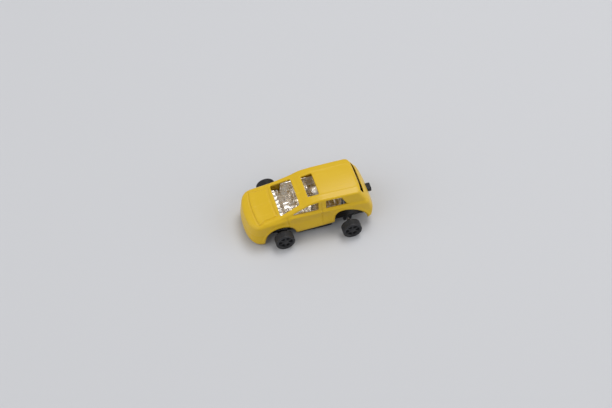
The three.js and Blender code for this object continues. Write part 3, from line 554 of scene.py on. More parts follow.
def cabin_height(x, y):
    """Height of the plated tray over its floor: the highest of dashboard, console, seats, bench and door
    cards at each place. x is measured from the front axle."""
    front = tray_high[0] - front_axle_x
    rear = tray_low[0] - front_axle_x
    half = tray_high[1]
    floor_level = tray_low[2] + TRAY_FLOOR
    top = tray_high[2] - floor_level
    off_centre = np.abs(y)
    off_seat = np.abs(off_centre - SEAT_SPREAD)

    back = front - DASH_DEPTH
    edge = half - DASH_CORNER
    knobs = KNOB_HEIGHT * np.cos(2 * np.pi * y / KNOB_PITCH)
    knobs = knobs * plateau(x, back + KNOB_ROW[0], front - KNOB_ROW[1], soft=0.7)
    spread_x, spread_y = BINNACLE_SPREAD
    binnacle = BINNACLE_HEIGHT * np.exp(
        -((y - SEAT_SPREAD) / spread_y) ** 2 - ((x - back - BINNACLE_AHEAD) / spread_x) ** 2
    )
    vents = -VENT_DEPTH * plateau(np.abs(off_centre - VENT_SPREAD), 0, VENT_HALF, soft=0.2)
    vents = vents * plateau(x, back + VENT_AHEAD[0], back + VENT_AHEAD[1], soft=0.25)
    fall = DASH_FALL * smooth_step(front - x, DASH_LEVEL, DASH_DEPTH - 0.2)
    dash = DASH_TOP - floor_level + knobs + binnacle + vents - fall
    dash = dash * plateau(x, back + 0.3, front, soft=0.4) * plateau(y, -edge, edge, soft=0.3)

    lever = LEVER_HEIGHT * np.exp(-((x - LEVER_PLACE) ** 2 + y ** 2) / LEVER_SPREAD)
    console = (CONSOLE_HEIGHT + lever) * plateau(y, -CONSOLE_HALF, CONSOLE_HALF, soft=0.4)
    overlap_rear, overlap_front = CONSOLE_OVERLAP
    console = console * plateau(x, FRONT_SEAT_AHEAD - overlap_rear, back + overlap_front, soft=0.5)
    pedals = PEDAL_RAMP * plateau(off_seat, 0, PEDAL_HALF, soft=0.6)
    pedals = pedals * smooth_step(x, back - PEDAL_LENGTH, back)
    footwell = FOOTWELL * plateau(x, rear, back + 0.5, soft=0.5)

    seat_y = off_centre - SEAT_SPREAD
    seats = seat_height(x, seat_y, FRONT_SEAT_AHEAD, FRONT_SEAT_LENGTH, SEAT_HALF, top)
    bench = seat_height(x, y, rear + BENCH_LENGTH, BENCH_LENGTH, BENCH_HALF, top)
    arm_rear, arm_middle, arm_front = ARMREST_KNOTS
    armrest = smooth_step(x, arm_rear, arm_middle) * (1 - smooth_step(x, arm_middle, arm_front))
    inner = half - CARD_THICKNESS - ARMREST * armrest
    cards = (CARD_TOP - floor_level) * smooth_step(off_centre, inner, inner + CARD_SLOPE)
    cards = cards * plateau(x, NOTCH + 0.5, CARD_FRONT, soft=0.5)
    return np.maximum.reduce([dash, console, pedals + footwell, seats, bench, cards])


def relaxed(heights):
    """One pass of a 3 by 3 binomial blur, which rounds every step as a plated moulding's edges are."""
    padded = np.pad(heights, 1, mode="edge")
    rows = (padded[:-2] + 2 * padded[1:-1] + padded[2:]) / 4
    return (rows[:, :-2] + 2 * rows[:, 1:-1] + rows[:, 2:]) / 4


def height_field(name, x, y, z, bottom):
    """Closed solid under a height field: its top is a grid of heights, and its skirt and underside drop
    to bottom. y has a row for each x, so that the plan can narrow."""
    grid_x = np.broadcast_to(x[:, None], y.shape)
    top = np.stack([grid_x, y, z], -1)
    base = np.stack([grid_x, y, np.full_like(z, bottom)], -1)
    rows, columns = z.shape
    cover = grid_triangles(rows, columns, False)
    edge = np.concatenate([
        np.arange(rows - 1) * columns,
        (rows - 1) * columns + np.arange(columns - 1),
        (np.arange(rows - 1)[::-1] + 1) * columns + columns - 1,
        np.arange(1, columns)[::-1],
    ])
    following = np.roll(edge, -1)
    count = rows * columns
    skirt = np.concatenate([
        np.stack([following, edge, edge + count], -1),
        np.stack([following, edge + count, following + count], -1),
    ])
    points = np.concatenate([top.reshape(-1, 3), base.reshape(-1, 3)])
    return add_piece(name, points, np.concatenate([cover, cover[:, ::-1] + count, skirt]))


def ring_tube(radius, thickness, around, across):
    """Torus about the Y axis: a small circle carried round a large one."""
    u = 2 * np.pi * np.arange(around)[:, None] / around
    v = 2 * np.pi * np.arange(across) / across
    reach = radius + thickness * np.cos(v)
    along = np.broadcast_to(thickness * np.sin(v), (around, across))
    points = np.stack([reach * np.sin(u), along, reach * np.cos(u)], -1)
    points = np.concatenate([points, points[:1]])
    return points, grid_triangles(around + 1, across, True)


# The plating is a metal whose bump wavers as thin plating does, with duller, browner patches
plated = moulded_material(
    "plated_plastic", CHROME_COLOUR, CHROME_WORN, CHROME_GRAIN,
    rough=0.27, rough_spread=0.08, peel_height=0.07, metallic=1.0, scuff_rough=0.12,
)
tray_x = np.linspace(tray_low[0], tray_high[0], int((tray_high[0] - tray_low[0]) / TRAY_STEP) + 1)
tray_y = np.linspace(tray_low[1], tray_high[1], int((tray_high[1] - tray_low[1]) / TRAY_STEP) + 1)
past_notch = smooth_step(tray_x - front_axle_x, NOTCH - NOTCH_SOFT, NOTCH + NOTCH_SOFT)
tray_y = tray_y[None, :] * mix(BENCH_HALF / tray_high[1], 1, past_notch)[:, None]
heights = cabin_height(tray_x[:, None] - front_axle_x, tray_y)
heights = relaxed(relaxed(heights)) + tray_low[2] + TRAY_FLOOR
cabin = height_field("plated_cabin", tray_x, tray_y, heights, tray_low[2])
finish_piece(cabin, plated, "car", ["interior_tray"])

wheel_ring, ring_faces = ring_tube(STEERING_RADIUS - STEERING_TUBE, STEERING_TUBE, 64, 16)
hub_arc = np.linspace(0, np.pi / 2, 6)
hub, hub_faces = turned(
    np.concatenate([STEERING_HUB * np.sin(hub_arc), [STEERING_HUB, COLUMN, COLUMN, 0]]),
    np.concatenate([
        STEERING_HUB_RISE * np.cos(hub_arc),
        [-STEERING_HUB_SKIRT[0], -STEERING_HUB_SKIRT[1], -COLUMN_LENGTH, -COLUMN_LENGTH],
    ]),
    32,
)
spoke, spoke_faces = turned(
    [0, STEERING_SPOKE, STEERING_SPOKE, 0],
    [-STEERING_REACH, -STEERING_REACH, STEERING_REACH, STEERING_REACH],
    16,
)
cross_spoke = spoke[..., [1, 2, 0]]
down_spoke = np.stack([spoke[..., 0], spoke[..., 2], (spoke[..., 1] - STEERING_REACH) / 2], -1)
parts = [part.reshape(-1, 3) for part in (wheel_ring, hub, cross_spoke, down_spoke)]
part_faces = [ring_faces, hub_faces, spoke_faces[:, ::-1], spoke_faces]
starts = np.cumsum([0] + [len(part) for part in parts[:-1]])
steering = np.concatenate(parts)
axis = np.array([-math.cos(STEERING_TILT), 0, math.sin(STEERING_TILT)])
upright = np.array([math.sin(STEERING_TILT), 0, math.cos(STEERING_TILT)])
sideways = np.cross(axis, upright)
tilted = steering[:, :1] * sideways + steering[:, 1:2] * axis + steering[:, 2:] * upright
dash_rear = np.array([tray_high[0] - DASH_DEPTH, SEAT_SPREAD, DASH_TOP - STEERING_RADIUS])
steering_wheel = add_piece(
    "plated_steering_wheel",
    tilted + (dash_rear + STEERING_OUT * axis),
    np.concatenate([faces + start for faces, start in zip(part_faces, starts)]),
)
steering_wheel.data.materials.append(plated)
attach(steering_wheel, "car")


# Body shell. One glossy yellow moulding, a millimetre thick and open below, with unglazed windows. It
# drops over the tray and hooks on the floor pan at the nose and by the catch at the tail.
BODY_COLOUR = (0.665, 0.42, 0.012, 1.0)
BODY_WORN = (0.74, 0.50, 0.035, 1.0)
BODY_GRAIN = (70.0, 1500.0, 90.0)
WALL = 1.0
HALF_WIDTH = 12.5
NOSE = 16.2
NOSE_LENGTH = 7.6
NOSE_POWER = 2.6
TAIL_REACH = 13.3
TAIL_LENGTH = 3.7
TAIL_POWER = 4.5
TAIL_LIP = 0.35
TAIL_THINNING = 0.65
BUMPER_BOTTOM = 0.7
SILL_FRONT = 4.0
SILL_REAR = 5.1
TAIL_BOTTOM = 3.4
SILL_ROLL = 1.2
FRONT_ARCH_TOP = 10.1
FRONT_ARCH_SKEW = 0.9
FRONT_ARCH_BEHIND = 6.6
REAR_ARCH_TOP = 12.5
REAR_ARCH_SKEW = 0.7
REAR_ARCH_AHEAD = 6.8
ARCH_CHORDS = 72
WAIST_SHARE = 0.45
BELT = 15.8
ROOF = 22.1
RAIL = 21.3
LINE_BLEND = 1.4
LINE_SHIFTS = 9
CREST = 0.93
ROUND_LIMIT = 0.45
WINDSCREEN_BASE = 0.6
WINDSCREEN_TOP = -9.3
WINDSCREEN_ROUND = 0.9
SUNROOF_FRONT = -13.5
SUNROOF_REAR = -19.2
SUNROOF_ROUND = 0.6
FRONT_WINDOW = (-4.9, -17.8)
REAR_WINDOW = (-21.0, -31.3)
WINDOW_ROUND = 0.5
WINDOW_TOP = 1.05
PILLAR_LEAN = 0.95
QUARTER_LEAN = 2.6
TAIL_WINDOW_HALF = 9.2
TAIL_WINDOW_BAND = (0.4, 0.97)
TAIL_WINDOW_SCALE = 6.0
TAIL_WINDOW_ROUND = 0.4
SLOT_HALF = 2.3
SLOT_LEVEL = 9.8
SLOT_RISE = 1.4
SLOT_ROUND = 0.3
SEAM_WIDTH = 0.28
DOOR_SEAM = (-18.75, 20.2, 0.058)
FENDER_SEAM = (-3.05, 10.0, 0.17)
HOLLOW_ENDS = (-21.5, -6.0)
HOLLOW_LEVEL = 10.6
HOLLOW_WIDTH = 2.6
STRIP_ENDS = (-30.0, -4.5)
STRIP_DROP = 1.1
STRIP_WIDTH = 0.4
PANEL_FRONT = (11.8, 0.010)
PANEL_REAR = (2.26, 0.0072)
PANEL_HALF = 8.75
PANEL_SPLAY = 0.09
PANEL_WIDENING = (7.5, 10.6)
PANEL_ROUND = 0.35
PANEL_RIM_WIDTH = 0.36
PANEL_STEP = 0.5
PANEL_CREASE_WIDTH = 0.4
HEADER_LINE = -10.9
HEADER_WIDTH = 0.35
GUTTER_OFFSET = 0.24
GUTTER_SCALE = 10.0
GUTTER_WIDTH = 0.45
GUTTER_FRONT = (-12.0, -10.5)
BUMPER_LINE = 6.6
BUMPER_WIDTH = 0.3
LIP_OFFSET = 0.75
LIP_WIDTH = 0.55
FLARE_WIDTH = 4.0
FAR = 9.0
TINY = 1e-12
NOSE_ROWS = 44
ARCH_ROWS = 52
DOOR_ROWS = 56
TAIL_ROWS = 32
RIM_STEPS = 4
RIM_BULGE = 0.22

REAR_AXLE = rear_axle_x - front_axle_x
TAIL = REAR_AXLE - TAIL_REACH
ARCH_NOSE = NOSE - NOSE_LENGTH
ARCH_TAIL = TAIL + TAIL_LENGTH
DOOR_FRONT = -FRONT_ARCH_BEHIND
DOOR_REAR = REAR_AXLE + REAR_ARCH_AHEAD

# Number of the last zone around the half outline, which is the tail, and numbers of the pieces up a
# section: the bend at the belt, the windows, the bend at the roof's rail, and the roof
TAIL_ZONE = 4
UP_BELT = 7
UP_WINDOW = 8
UP_RAIL = 9
UP_ROOF = 10

# Grid columns on each piece of a section, from the lower edge to the middle of the roof
SECTION_STEPS = (3, 3, 11, 7, 8, 5, 3, 3, 12, 7, 40)

# Inset of each rail from the nose tip, the widest side and the tail, where its turns begin beside the
# arch ends, and the rounding of the section there
RAILS = {
    "bottom": (1.0, 0.4, 2.1, 0.0, 0.0, 0.0),
    "sill": (0.2, 0.1, 1.0, 0.0, 0.0, 0.5),
    "waist": (0.0, 0.5, 0.0, 0.2, 1.3, 1.6),
    "shoulder": (0.8, 0.3, 2.1, 0.1, 2.8, 0.7),
    "belt": (2.0, 1.1, 3.1, -0.1, 3.8, 0.25),
    "roof": (4.1, 1.7, 6.7, -0.8, 7.1, 0.9),
    "spine": (5.9, HALF_WIDTH, 8.4, 0.9, 8.6, 0.0),
}
ROOF_RAIL = list(RAILS).index("roof")
SPINE_RAIL = list(RAILS).index("spine")

# Place and height of the knots of each line along the car, and place and inset of those of the roof's tuck
LINES = {
    "shoulder": (
        (TAIL, BELT - 2.4), (REAR_AXLE - 4, BELT - 1.4), (REAR_AXLE, BELT - 1.1), (-7, BELT - 1.2),
        (2, BELT - 2.4), (NOSE, BELT - 4.6),
    ),
    "belt": (
        (TAIL, BELT - 0.4), (REAR_AXLE - 3, BELT), (-5.4, BELT), (1, BELT - 1.5), (9, BELT - 2.6),
        (NOSE, BELT - 3.9),
    ),
    "roof": (
        (REAR_AXLE, RAIL), (SUNROOF_REAR, RAIL), (SUNROOF_FRONT, RAIL - 0.7),
        (WINDSCREEN_TOP, RAIL - 2.6), (WINDSCREEN_BASE, BELT - 0.7), (3, BELT - 1.3), (7.8, BELT - 2.1),
        (NOSE - 4, BELT - 2.8),
    ),
    "spine": (
        (REAR_AXLE, ROOF), (SUNROOF_REAR, ROOF - 0.3), (SUNROOF_FRONT, ROOF - 1.1),
        (WINDSCREEN_TOP, ROOF - 3.1), (1, BELT - 0.1), (2.6, BELT - 0.7), (NOSE - 6, BELT - 2.0),
    ),
}
ROOF_TUCK = ((REAR_AXLE, 0), (SUNROOF_REAR, 0.4), (WINDSCREEN_TOP, 0.4), (WINDSCREEN_BASE, 0))

# Front and rear end of each wheel arch, the height of the lower edge there, its crown and the crown's lead
ARCHES = (
    (ARCH_NOSE, DOOR_FRONT, BUMPER_BOTTOM, SILL_FRONT, FRONT_ARCH_TOP, FRONT_ARCH_SKEW),
    (DOOR_REAR, ARCH_TAIL, SILL_REAR, TAIL_BOTTOM, REAR_ARCH_TOP, REAR_ARCH_SKEW),
)

# Half width of the sunroof and the windscreen at their ends, and height of the side windows' band
ROOF_CUT_PLACES = (SUNROOF_REAR, SUNROOF_FRONT, WINDSCREEN_TOP, WINDSCREEN_BASE)
ROOF_CUT_HALVES = (6.7, 6.4, 8.15, 9.55)
WINDOW_BAND_PLACES = (-9.3, -3.0)
WINDOW_BAND_HEIGHTS = (4.6, 1.6)

# How far each form of the relief stands out from the skin
RELIEF = {
    "door_seam": -0.4,
    "fender_seam": -0.26,
    "hollow": -0.55,
    "panel_rim": -0.36,
    "panel": 0.16,
    "crease": -0.12,
    "strip": 0.25,
    "header": -0.12,
    "gutter": 0.08,
    "bumper": -0.16,
    "lip": 0.34,
    "flare": 0.2,
}


def height_line(x, knots):
    """Straight lines between knots, averaged over shifts along the car, so that each knot becomes a
    soft bend."""
    places, values = np.array(sorted(knots)).T
    shifts = np.linspace(-LINE_BLEND, LINE_BLEND, LINE_SHIFTS)
    return np.mean([np.interp(x + shift, places, values) for shift in shifts], 0)


def plan_line(rail, zone, t):
    """A rail's place in plan: a superellipse quarter round the nose, straight sides, and a superellipse
    quarter round the tail. zone counts nose, front arch, doors, rear arch and tail."""
    nose, side, tail, nose_turn, tail_turn, _ = rail
    half = HALF_WIDTH - side
    nose_corner = ARCH_NOSE + nose_turn
    tail_corner = ARCH_TAIL + tail_turn
    away = np.sin(np.pi / 2 * t)
    ahead = np.clip(np.cos(np.pi / 2 * t), 0, 1)
    x = [
        mix(nose_corner, NOSE - nose, ahead ** (2 / NOSE_POWER)),
        mix(nose_corner, DOOR_FRONT, t),
        mix(DOOR_FRONT, DOOR_REAR, t),
        mix(DOOR_REAR, tail_corner, t),
        mix(tail_corner, TAIL + tail, away ** (2 / TAIL_POWER)),
    ]
    straight = np.full_like(t, half)
    nose_y = half * away ** (2 / NOSE_POWER)
    tail_y = half * ahead ** (2 / TAIL_POWER)
    return np.choose(zone, x), np.choose(zone, [nose_y, straight, straight, straight, tail_y])


def bottom_line(zone, t):
    """Height of the body's lower edge before the arches are cut: level round nose and tail, straight
    between."""
    return np.choose(zone, [
        np.full_like(t, BUMPER_BOTTOM),
        mix(BUMPER_BOTTOM, SILL_FRONT, t),
        mix(SILL_FRONT, SILL_REAR, t),
        mix(SILL_REAR, TAIL_BOTTOM, t),
        np.full_like(t, TAIL_BOTTOM),
    ])


def arch_distance(points):
    """Distance in side view to the edge of the nearer wheel arch, negative inside it. The edge is a half
    ellipse over a sloping base, with its crown moved forward by a power, and runs straight down from its
    two ends."""
    x, z = points[..., 0], points[..., 2]
    nearest = np.full_like(x, FAR)
    t = np.linspace(0, 1, ARCH_CHORDS + 1)
    for front, rear, front_z, rear_z, top, skew in ARCHES:
        rise = (top - (front_z + rear_z) / 2) * np.sin(np.pi * t ** skew)
        edge_x = np.concatenate([[front], mix(front, rear, (1 - np.cos(np.pi * t)) / 2), [rear]])
        edge_z = np.concatenate([[front_z - BELT], mix(front_z, rear_z, t) + rise, [rear_z - BELT]])
        step_x, step_z = np.diff(edge_x), np.diff(edge_z)
        from_x, from_z = x[..., None] - edge_x[:-1], z[..., None] - edge_z[:-1]
        along = np.clip((from_x * step_x + from_z * step_z) / (step_x ** 2 + step_z ** 2), 0, 1)
        away = np.hypot(from_x - along * step_x, from_z - along * step_z).min(-1)
        inside = (x < front) & (x > rear) & (z < np.interp(x, edge_x[-2:0:-1], edge_z[-2:0:-1]))
        nearest = np.minimum(nearest, np.where(inside, -away, away))
    return nearest


def rail_points(around):
    """The seven rails at each place around the half outline, from the middle of the nose, 0, to that of
    the tail, 5."""
    zone = np.minimum(around.astype(int), TAIL_ZONE)
    t = around - zone
    x, y, z = {}, {}, {}
    for name, rail in RAILS.items():
        x[name], y[name] = plan_line(rail, zone, t)
    y["roof"] = y["roof"] * (1 - height_line(x["roof"], ROOF_TUCK) / HALF_WIDTH)
    for name, knots in LINES.items():
        z[name] = height_line(x[name], knots)
    z["bottom"] = bottom_line(zone, t)
    z["waist"] = mix(z["bottom"], z["shoulder"], WAIST_SHARE)
    room = 2 * ROUND_LIMIT * (z["waist"] - z["bottom"])
    z["sill"] = z["bottom"] + np.minimum(SILL_ROLL, room)
    return np.stack([np.stack([x[name], y[name], z[name]], -1) for name in RAILS])


def skin(around, up):
    """The body's outer skin. Each section is straight between the rails, with a quadratic Bezier round
    each of them, and a parabolic crown over the roof. up counts these pieces: even ones are straight, odd
    ones round a rail. The roof's rounding shrinks to a crisp lip over the tail."""
    rails = rail_points(around)
    roundings = [rail[5] for rail in RAILS.values()]
    behind = np.sin(np.pi / 2 * np.clip(around - TAIL_ZONE, 0, 1))
    roundings[ROOF_RAIL] = roundings[ROOF_RAIL] * mix(1, TAIL_LIP, behind)
    roof, spine = rails[ROOF_RAIL], rails[SPINE_RAIL]

    def beside(i, other):
        away = rails[other] - rails[i]
        share = np.minimum(ROUND_LIMIT, roundings[i] / np.maximum(np.linalg.norm(away, axis=-1), TINY))
        return rails[i] + away * share[..., None]

    def crown(share):
        height = mix(spine[..., 2], roof[..., 2], share ** 2)
        along = mix(spine[..., 0], roof[..., 0], share)
        return np.stack([along, roof[..., 1] * share, height], -1)

    piece = np.clip(up.astype(int), 0, UP_ROOF)
    w = up - piece
    bend = w[..., None]
    bends = range(1, ROOF_RAIL + 1)
    before = [rails[0]] + [beside(i, i - 1) for i in bends]
    after = [rails[0]] + [beside(i, i + 1) for i in bends[:-1]] + [crown(np.full_like(up, CREST))]
    options = []
    for i in bends:
        options.append(mix(after[i - 1], before[i], bend))
        options.append(mix(mix(before[i], rails[i], bend), mix(rails[i], after[i], bend), bend))
    options.append(crown(CREST * (1 - w)))
    return np.choose(piece[..., None], options)


def openings(points, around, up):
    """Distance to the nearest opening, negative inside: windscreen, sunroof, windows, catch slot and
    wheel arches."""
    x, y, z = points[..., 0], np.abs(points[..., 1]), points[..., 2]
    past_edge = y - np.interp(x, ROOF_CUT_PLACES, ROOF_CUT_HALVES)
    ends = np.maximum(x - WINDSCREEN_BASE, WINDSCREEN_TOP - x)
    windscreen = rounded_cut(ends, past_edge, WINDSCREEN_ROUND)
    ends = np.maximum(x - SUNROOF_FRONT, SUNROOF_REAR - x)
    sunroof = rounded_cut(ends, past_edge, SUNROOF_ROUND)
    above = np.where(up > UP_RAIL, np.minimum(windscreen, sunroof), FAR)

    band = np.interp(x, WINDOW_BAND_PLACES, WINDOW_BAND_HEIGHTS)
    share = np.clip(up - UP_WINDOW, -1, 2)
    sides = np.maximum(BELT - 0.1 - z, (share - WINDOW_TOP) * band)
    ends = np.maximum(x - FRONT_WINDOW[0] + PILLAR_LEAN * (z - BELT), FRONT_WINDOW[1] - x)
    front_window = rounded_cut(ends, sides, WINDOW_ROUND)
    ends = np.maximum(x - REAR_WINDOW[0], REAR_WINDOW[1] + QUARTER_LEAN * share - x)
    rear_window = rounded_cut(ends, sides, WINDOW_ROUND)
    on_side = (around > 1) & (around < TAIL_ZONE)
    beside = np.where(on_side, np.minimum(front_window, rear_window), FAR)

    low, high = TAIL_WINDOW_BAND
    sides = np.maximum(low - share, share - high) * TAIL_WINDOW_SCALE
    tail_window = rounded_cut(y - TAIL_WINDOW_HALF, sides, TAIL_WINDOW_ROUND)
    slot = rounded_cut(y - SLOT_HALF, np.abs(z - SLOT_LEVEL) - SLOT_RISE, SLOT_ROUND)
    slot = np.where(up < UP_BELT, slot, FAR)
    behind = np.where(around > TAIL_ZONE, np.minimum(tail_window, slot), FAR)
    return np.minimum.reduce([above, beside, behind, arch_distance(points)])


def furrow(distance, width):
    """Bell-shaped furrow, 1 on its line and 0 a few widths away."""
    return np.exp(-(distance / width) ** 2)


def leaning_seam(x, z, seam):
    """Furrow along a straight seam, given by its place, the height it has there, and its lean."""
    place, level, lean = seam
    return furrow(x - place - lean * (z - level), SEAM_WIDTH)


def relief(points, around, up, lower_edge):
    """How far the skin stands out from its plain form: shut lines, hood panel, bumper line, arch lips and
    the like, each a shape between 0 and 1 times its height."""
    x, y, z = points[..., 0], np.abs(points[..., 1]), points[..., 2]
    over_edge = z - lower_edge
    below_roof = 1 - smooth_step(up, UP_RAIL - 0.4, UP_RAIL + 0.2)
    below_belt = 1 - smooth_step(up, UP_BELT + 0.5, UP_WINDOW)
    below_hood = 1 - smooth_step(up, UP_BELT - 1.5, UP_BELT - 0.5)
    ahead = x - PANEL_FRONT[0] + PANEL_FRONT[1] * y ** 2
    behind = PANEL_REAR[0] - PANEL_REAR[1] * y ** 2 - x
    beside = y - PANEL_HALF - PANEL_SPLAY * (x - 2) - smooth_step(x, *PANEL_WIDENING)
    to_panel = rounded_cut(np.maximum(ahead, behind), beside, PANEL_ROUND)
    to_panel = np.where(up > UP_WINDOW + 0.5, to_panel, FAR)
    panel = 1 - smooth_step(to_panel, -PANEL_STEP, 0)
    on_nose = 1 - smooth_step(around, 1, 1.25)
    behind_header = 1 - smooth_step(x, *GUTTER_FRONT)
    from_arch = arch_distance(points)
    over_sill = smooth_step(over_edge, 0.2, 2.6)
    on_roof = smooth_step(up, UP_ROOF - 0.1, UP_ROOF + 0.2)
    over_roll = smooth_step(over_edge, 0.2, 0.8)
    forms = {
        "door_seam": leaning_seam(x, z, DOOR_SEAM) * below_roof * over_roll,
        "fender_seam": leaning_seam(x, z, FENDER_SEAM) * plateau(up, 2.5, UP_BELT + 0.5, soft=0.6),
        "hollow": plateau(x, *HOLLOW_ENDS, soft=2.5) * furrow(z - HOLLOW_LEVEL, HOLLOW_WIDTH),
        "panel_rim": furrow(to_panel, PANEL_RIM_WIDTH),
        "panel": panel,
        "crease": furrow(y, PANEL_CREASE_WIDTH) * panel,
        "strip": plateau(x, *STRIP_ENDS, soft=1) * furrow(z - BELT + STRIP_DROP, STRIP_WIDTH) * below_belt,
        "header": furrow(x - HEADER_LINE, HEADER_WIDTH) * on_roof,
        "gutter": furrow((up - UP_ROOF - GUTTER_OFFSET) * GUTTER_SCALE, GUTTER_WIDTH) * behind_header,
        "bumper": furrow(z - BUMPER_LINE, BUMPER_WIDTH) * on_nose * below_hood,
        "lip": furrow(from_arch - LIP_OFFSET, LIP_WIDTH) * over_sill,
        "flare": (1 - smooth_step(from_arch, 0, FLARE_WIDTH)) * over_sill,
    }
    return sum(RELIEF[name] * form for name, form in forms.items())


def thinned(around, up):
    """1 round the tail window, where the wall is drawn thin, falling to 0 a little way off."""
    on_tail = smooth_step(around, TAIL_ZONE, TAIL_ZONE + 0.3)
    return on_tail * plateau(up, UP_WINDOW + 0.2, UP_RAIL, soft=0.5)


def snapped(around, up, distance, seam):
    """Moves grid points onto the edge of an opening. Where a grid edge or diagonal crosses it, the nearer
    end slides along to the crossing, so that no triangle has corners on both sides. Points on the seam
    stay on the seam."""
    number = np.arange(around.size).reshape(around.shape)
    pairs = [
        (number[:-1], number[1:]),
        (number[:, :-1], number[:, 1:]),
        (number[:-1, :-1], number[1:, 1:]),
    ]
    start = np.concatenate([a.ravel() for a, _ in pairs])
    end = np.concatenate([b.ravel() for _, b in pairs])
    flat, on_seam = distance.ravel(), seam.ravel()
    crossing = flat[start] * flat[end] < 0
    start, end = start[crossing], end[crossing]
    share = flat[start] / (flat[start] - flat[end])
    at_start = np.where(on_seam[start] != on_seam[end], on_seam[end], share < 0.5)
    mover, anchor = np.where(at_start, start, end), np.where(at_start, end, start)
    step = np.where(at_start, share, 1 - share)
    order = np.argsort(-step)
    mover, anchor, step = mover[order], anchor[order], step[order]
    new_around, new_up, new_distance = around.ravel().copy(), up.ravel().copy(), flat.copy()
    new_around[mover] = mix(around.ravel()[mover], around.ravel()[anchor], step)
    new_up[mover] = mix(up.ravel()[mover], up.ravel()[anchor], step)
    new_distance[mover] = 0
    return (grid.reshape(around.shape) for grid in (new_around, new_up, new_distance))


def unit_rows(vectors):
    """Each row scaled to length 1, and rows of no length left at 0."""
    return vectors / np.maximum(np.linalg.norm(vectors, axis=1, keepdims=True), TINY)


def vertex_normals(points, triangles):
    """Area-weighted mean of the normals of the triangles round each point."""
    a, b, c = points[triangles[:, 0]], points[triangles[:, 1]], points[triangles[:, 2]]
    face = np.cross(b - a, c - a)
    total = np.zeros_like(points)
    for corner in range(3):
        np.add.at(total, triangles[:, corner], face)
    return unit_rows(total)


def even_turn(rows, power):
    """Parameters round a superellipse quarter, spread so that the points lie about evenly along it."""
    s = np.arange(rows) / rows
    return s ** (power / 2) / (s ** (power / 2) + (1 - s) ** (power / 2))


def shell_mesh():
    """Outer skin of both halves, cut at the openings, an inner skin one wall inside it, and rounded rims
    that join the two along the lower edge and every opening."""
    rows = np.concatenate([
        even_turn(NOSE_ROWS, NOSE_POWER),
        1 + np.arange(ARCH_ROWS) / ARCH_ROWS,
        2 + np.arange(DOOR_ROWS) / DOOR_ROWS,
        3 + np.arange(ARCH_ROWS) / ARCH_ROWS,
        TAIL_ZONE + even_turn(TAIL_ROWS, TAIL_POWER),
        [TAIL_ZONE + 1],
    ])
    columns = np.concatenate(
        [i + np.arange(count) / count for i, count in enumerate(SECTION_STEPS)] + [[len(SECTION_STEPS)]]
    )
    around, up = np.meshgrid(rows, columns, indexing="ij")
    seam = np.zeros(around.shape, bool)
    seam[0], seam[-1], seam[:, -1] = True, True, True
    distance = openings(skin(around, up), around, up)
    around, up, distance = snapped(around, up, distance, seam | (up == 0))
    half = skin(around, up)
    half[..., 1][seam] = 0
    lower_edge = np.broadcast_to(half[:, :1, 2], up.shape)
    stand_out = relief(half, around, up, lower_edge).ravel()

    count = around.size
    left = grid_triangles(*around.shape, False)
    left = left[~seam.ravel()[left].all(axis=1)]
    partner = np.where(seam.ravel(), np.arange(count), np.arange(count) + count)
    half = half.reshape(-1, 3)
    points = np.concatenate([half, half * [1, -1, 1]])
    triangles = np.concatenate([left, partner[left][:, ::-1]])
    normals = vertex_normals(points, triangles)
    outer = points + normals * np.concatenate([stand_out, stand_out])[:, None]
    wall = WALL * (1 - TAIL_THINNING * thinned(around, up).ravel())
    inner = points - normals * np.concatenate([wall, wall])[:, None]

    gap = distance.ravel()[left]
    middle = np.mean([around.ravel()[left], up.ravel()[left]], axis=2)
    on_edge = np.all(gap == 0, axis=1)
    open_middle = openings(skin(*middle), *middle) < 0
    kept_left = left[~np.any(gap < 0, axis=1) & ~(on_edge & open_middle)]
    kept = np.concatenate([kept_left, partner[kept_left][:, ::-1]])

    total = len(points)
    edges = np.concatenate([kept[:, [0, 1]], kept[:, [1, 2]], kept[:, [2, 0]]])
    alone = ~np.isin(edges[:, 0] * total + edges[:, 1], edges[:, 1] * total + edges[:, 0])
    a, b = edges[alone].T
    into = np.zeros_like(outer)
    out_of_edge = np.cross(outer[b] - outer[a], normals[a] + normals[b])
    np.add.at(into, a, out_of_edge)
    np.add.at(into, b, out_of_edge)
    into = unit_rows(into)
    rim = np.unique(edges[alone])
    place = np.zeros(total, int)
    place[rim] = np.arange(len(rim))
    rings, strips = [], []
    for step in range(1, RIM_STEPS):
        s = step / RIM_STEPS
        rings.append(mix(outer[rim], inner[rim], s) + into[rim] * RIM_BULGE * math.sin(math.pi * s))
    ring_start = [2 * total + k * len(rim) for k in range(RIM_STEPS - 1)]
    from_a, from_b = a, b
    for step in range(RIM_STEPS):
        last = step == RIM_STEPS - 1
        to_a = a + total if last else place[a] + ring_start[step]
        to_b = b + total if last else place[b] + ring_start[step]
        strips.append(np.stack([from_b, from_a, to_a], -1))
        strips.append(np.stack([from_b, to_a, to_b], -1))
        from_a, from_b = to_a, to_b
    all_points = np.concatenate([outer, inner] + rings)
    all_triangles = np.concatenate([kept, kept[:, ::-1] + total] + strips)
    used = np.unique(all_triangles)
    renumber = np.zeros(len(all_points), int)
    renumber[used] = np.arange(len(used))
    return all_points[used], renumber[all_triangles]


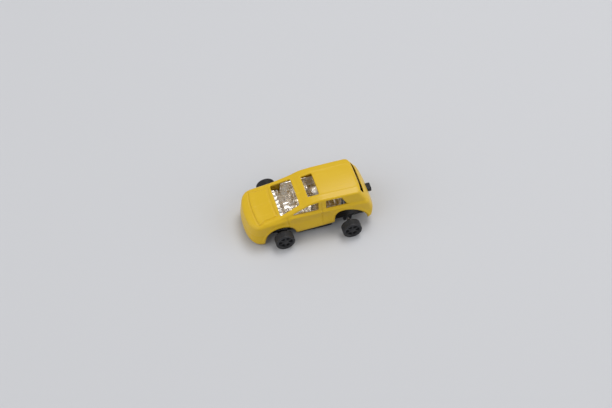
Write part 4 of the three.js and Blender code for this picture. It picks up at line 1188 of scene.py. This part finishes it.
yellow_plastic = moulded_material(
    "yellow_plastic", BODY_COLOUR, BODY_WORN, BODY_GRAIN,
    rough=0.32, rough_spread=0.07, peel_height=0.008, specular=0.3,
)
shell_points, shell_triangles = shell_mesh()
body = add_piece("yellow_body", shell_points + [front_axle_x, 0, 0], shell_triangles)
finish_piece(body, yellow_plastic, "car", ["body_shell"])


# Floor and light. A plain pale sheet carries the car, under a soft lamp high over its far side, weaker
# ones low ahead of its nose and behind its tail, and an even surrounding light.
FLOOR_COLOUR = (0.60, 0.605, 0.625, 1.0)
FLOOR_HALF = 2.0
FLOOR_ROUGH = 0.7
FLOOR_SPECULAR = 0.2
SURROUND_COLOUR = (0.97, 0.98, 1.0, 1.0)
SURROUND_STRENGTH = 0.42

floor_mesh = bpy.data.meshes.new("pale_floor")
floor_corners = [(x * FLOOR_HALF, y * FLOOR_HALF, 0) for x, y in ((-1, -1), (1, -1), (1, 1), (-1, 1))]
floor_mesh.from_pydata(floor_corners, [], [(0, 1, 2, 3)])
floor = linked_object("pale_floor", floor_mesh)
floor_material, _, _, floor_shader = new_material("pale_floor")
floor_shader.inputs["Base Color"].default_value = FLOOR_COLOUR
floor_shader.inputs["Roughness"].default_value = FLOOR_ROUGH
floor_shader.inputs["Specular IOR Level"].default_value = FLOOR_SPECULAR
floor_mesh.materials.append(floor_material)


def soft_lamp(name, place, size, power):
    """Square area lamp that faces the car."""
    light = bpy.data.lights.new(name, "AREA")
    light.size = size
    light.energy = power
    lamp = linked_object(name, light)
    lamp.location = place
    lamp.rotation_euler = Vector(place).to_track_quat("Z", "Y").to_euler()


soft_lamp("key_lamp", place=(-0.35, -0.35, 1.2), size=0.6, power=7.3)
soft_lamp("nose_lamp", place=(1.1, 0.15, 0.65), size=1.5, power=7.0)
soft_lamp("tail_lamp", place=(-1.1, 0.5, 0.55), size=1.2, power=5.4)
surroundings = bpy.data.worlds.new("studio")
surroundings.use_nodes = True
background = surroundings.node_tree.nodes["Background"]
background.inputs["Color"].default_value = SURROUND_COLOUR
background.inputs["Strength"].default_value = SURROUND_STRENGTH
bpy.context.scene.world = surroundings
bpy.context.scene.view_settings.view_transform = "Standard"
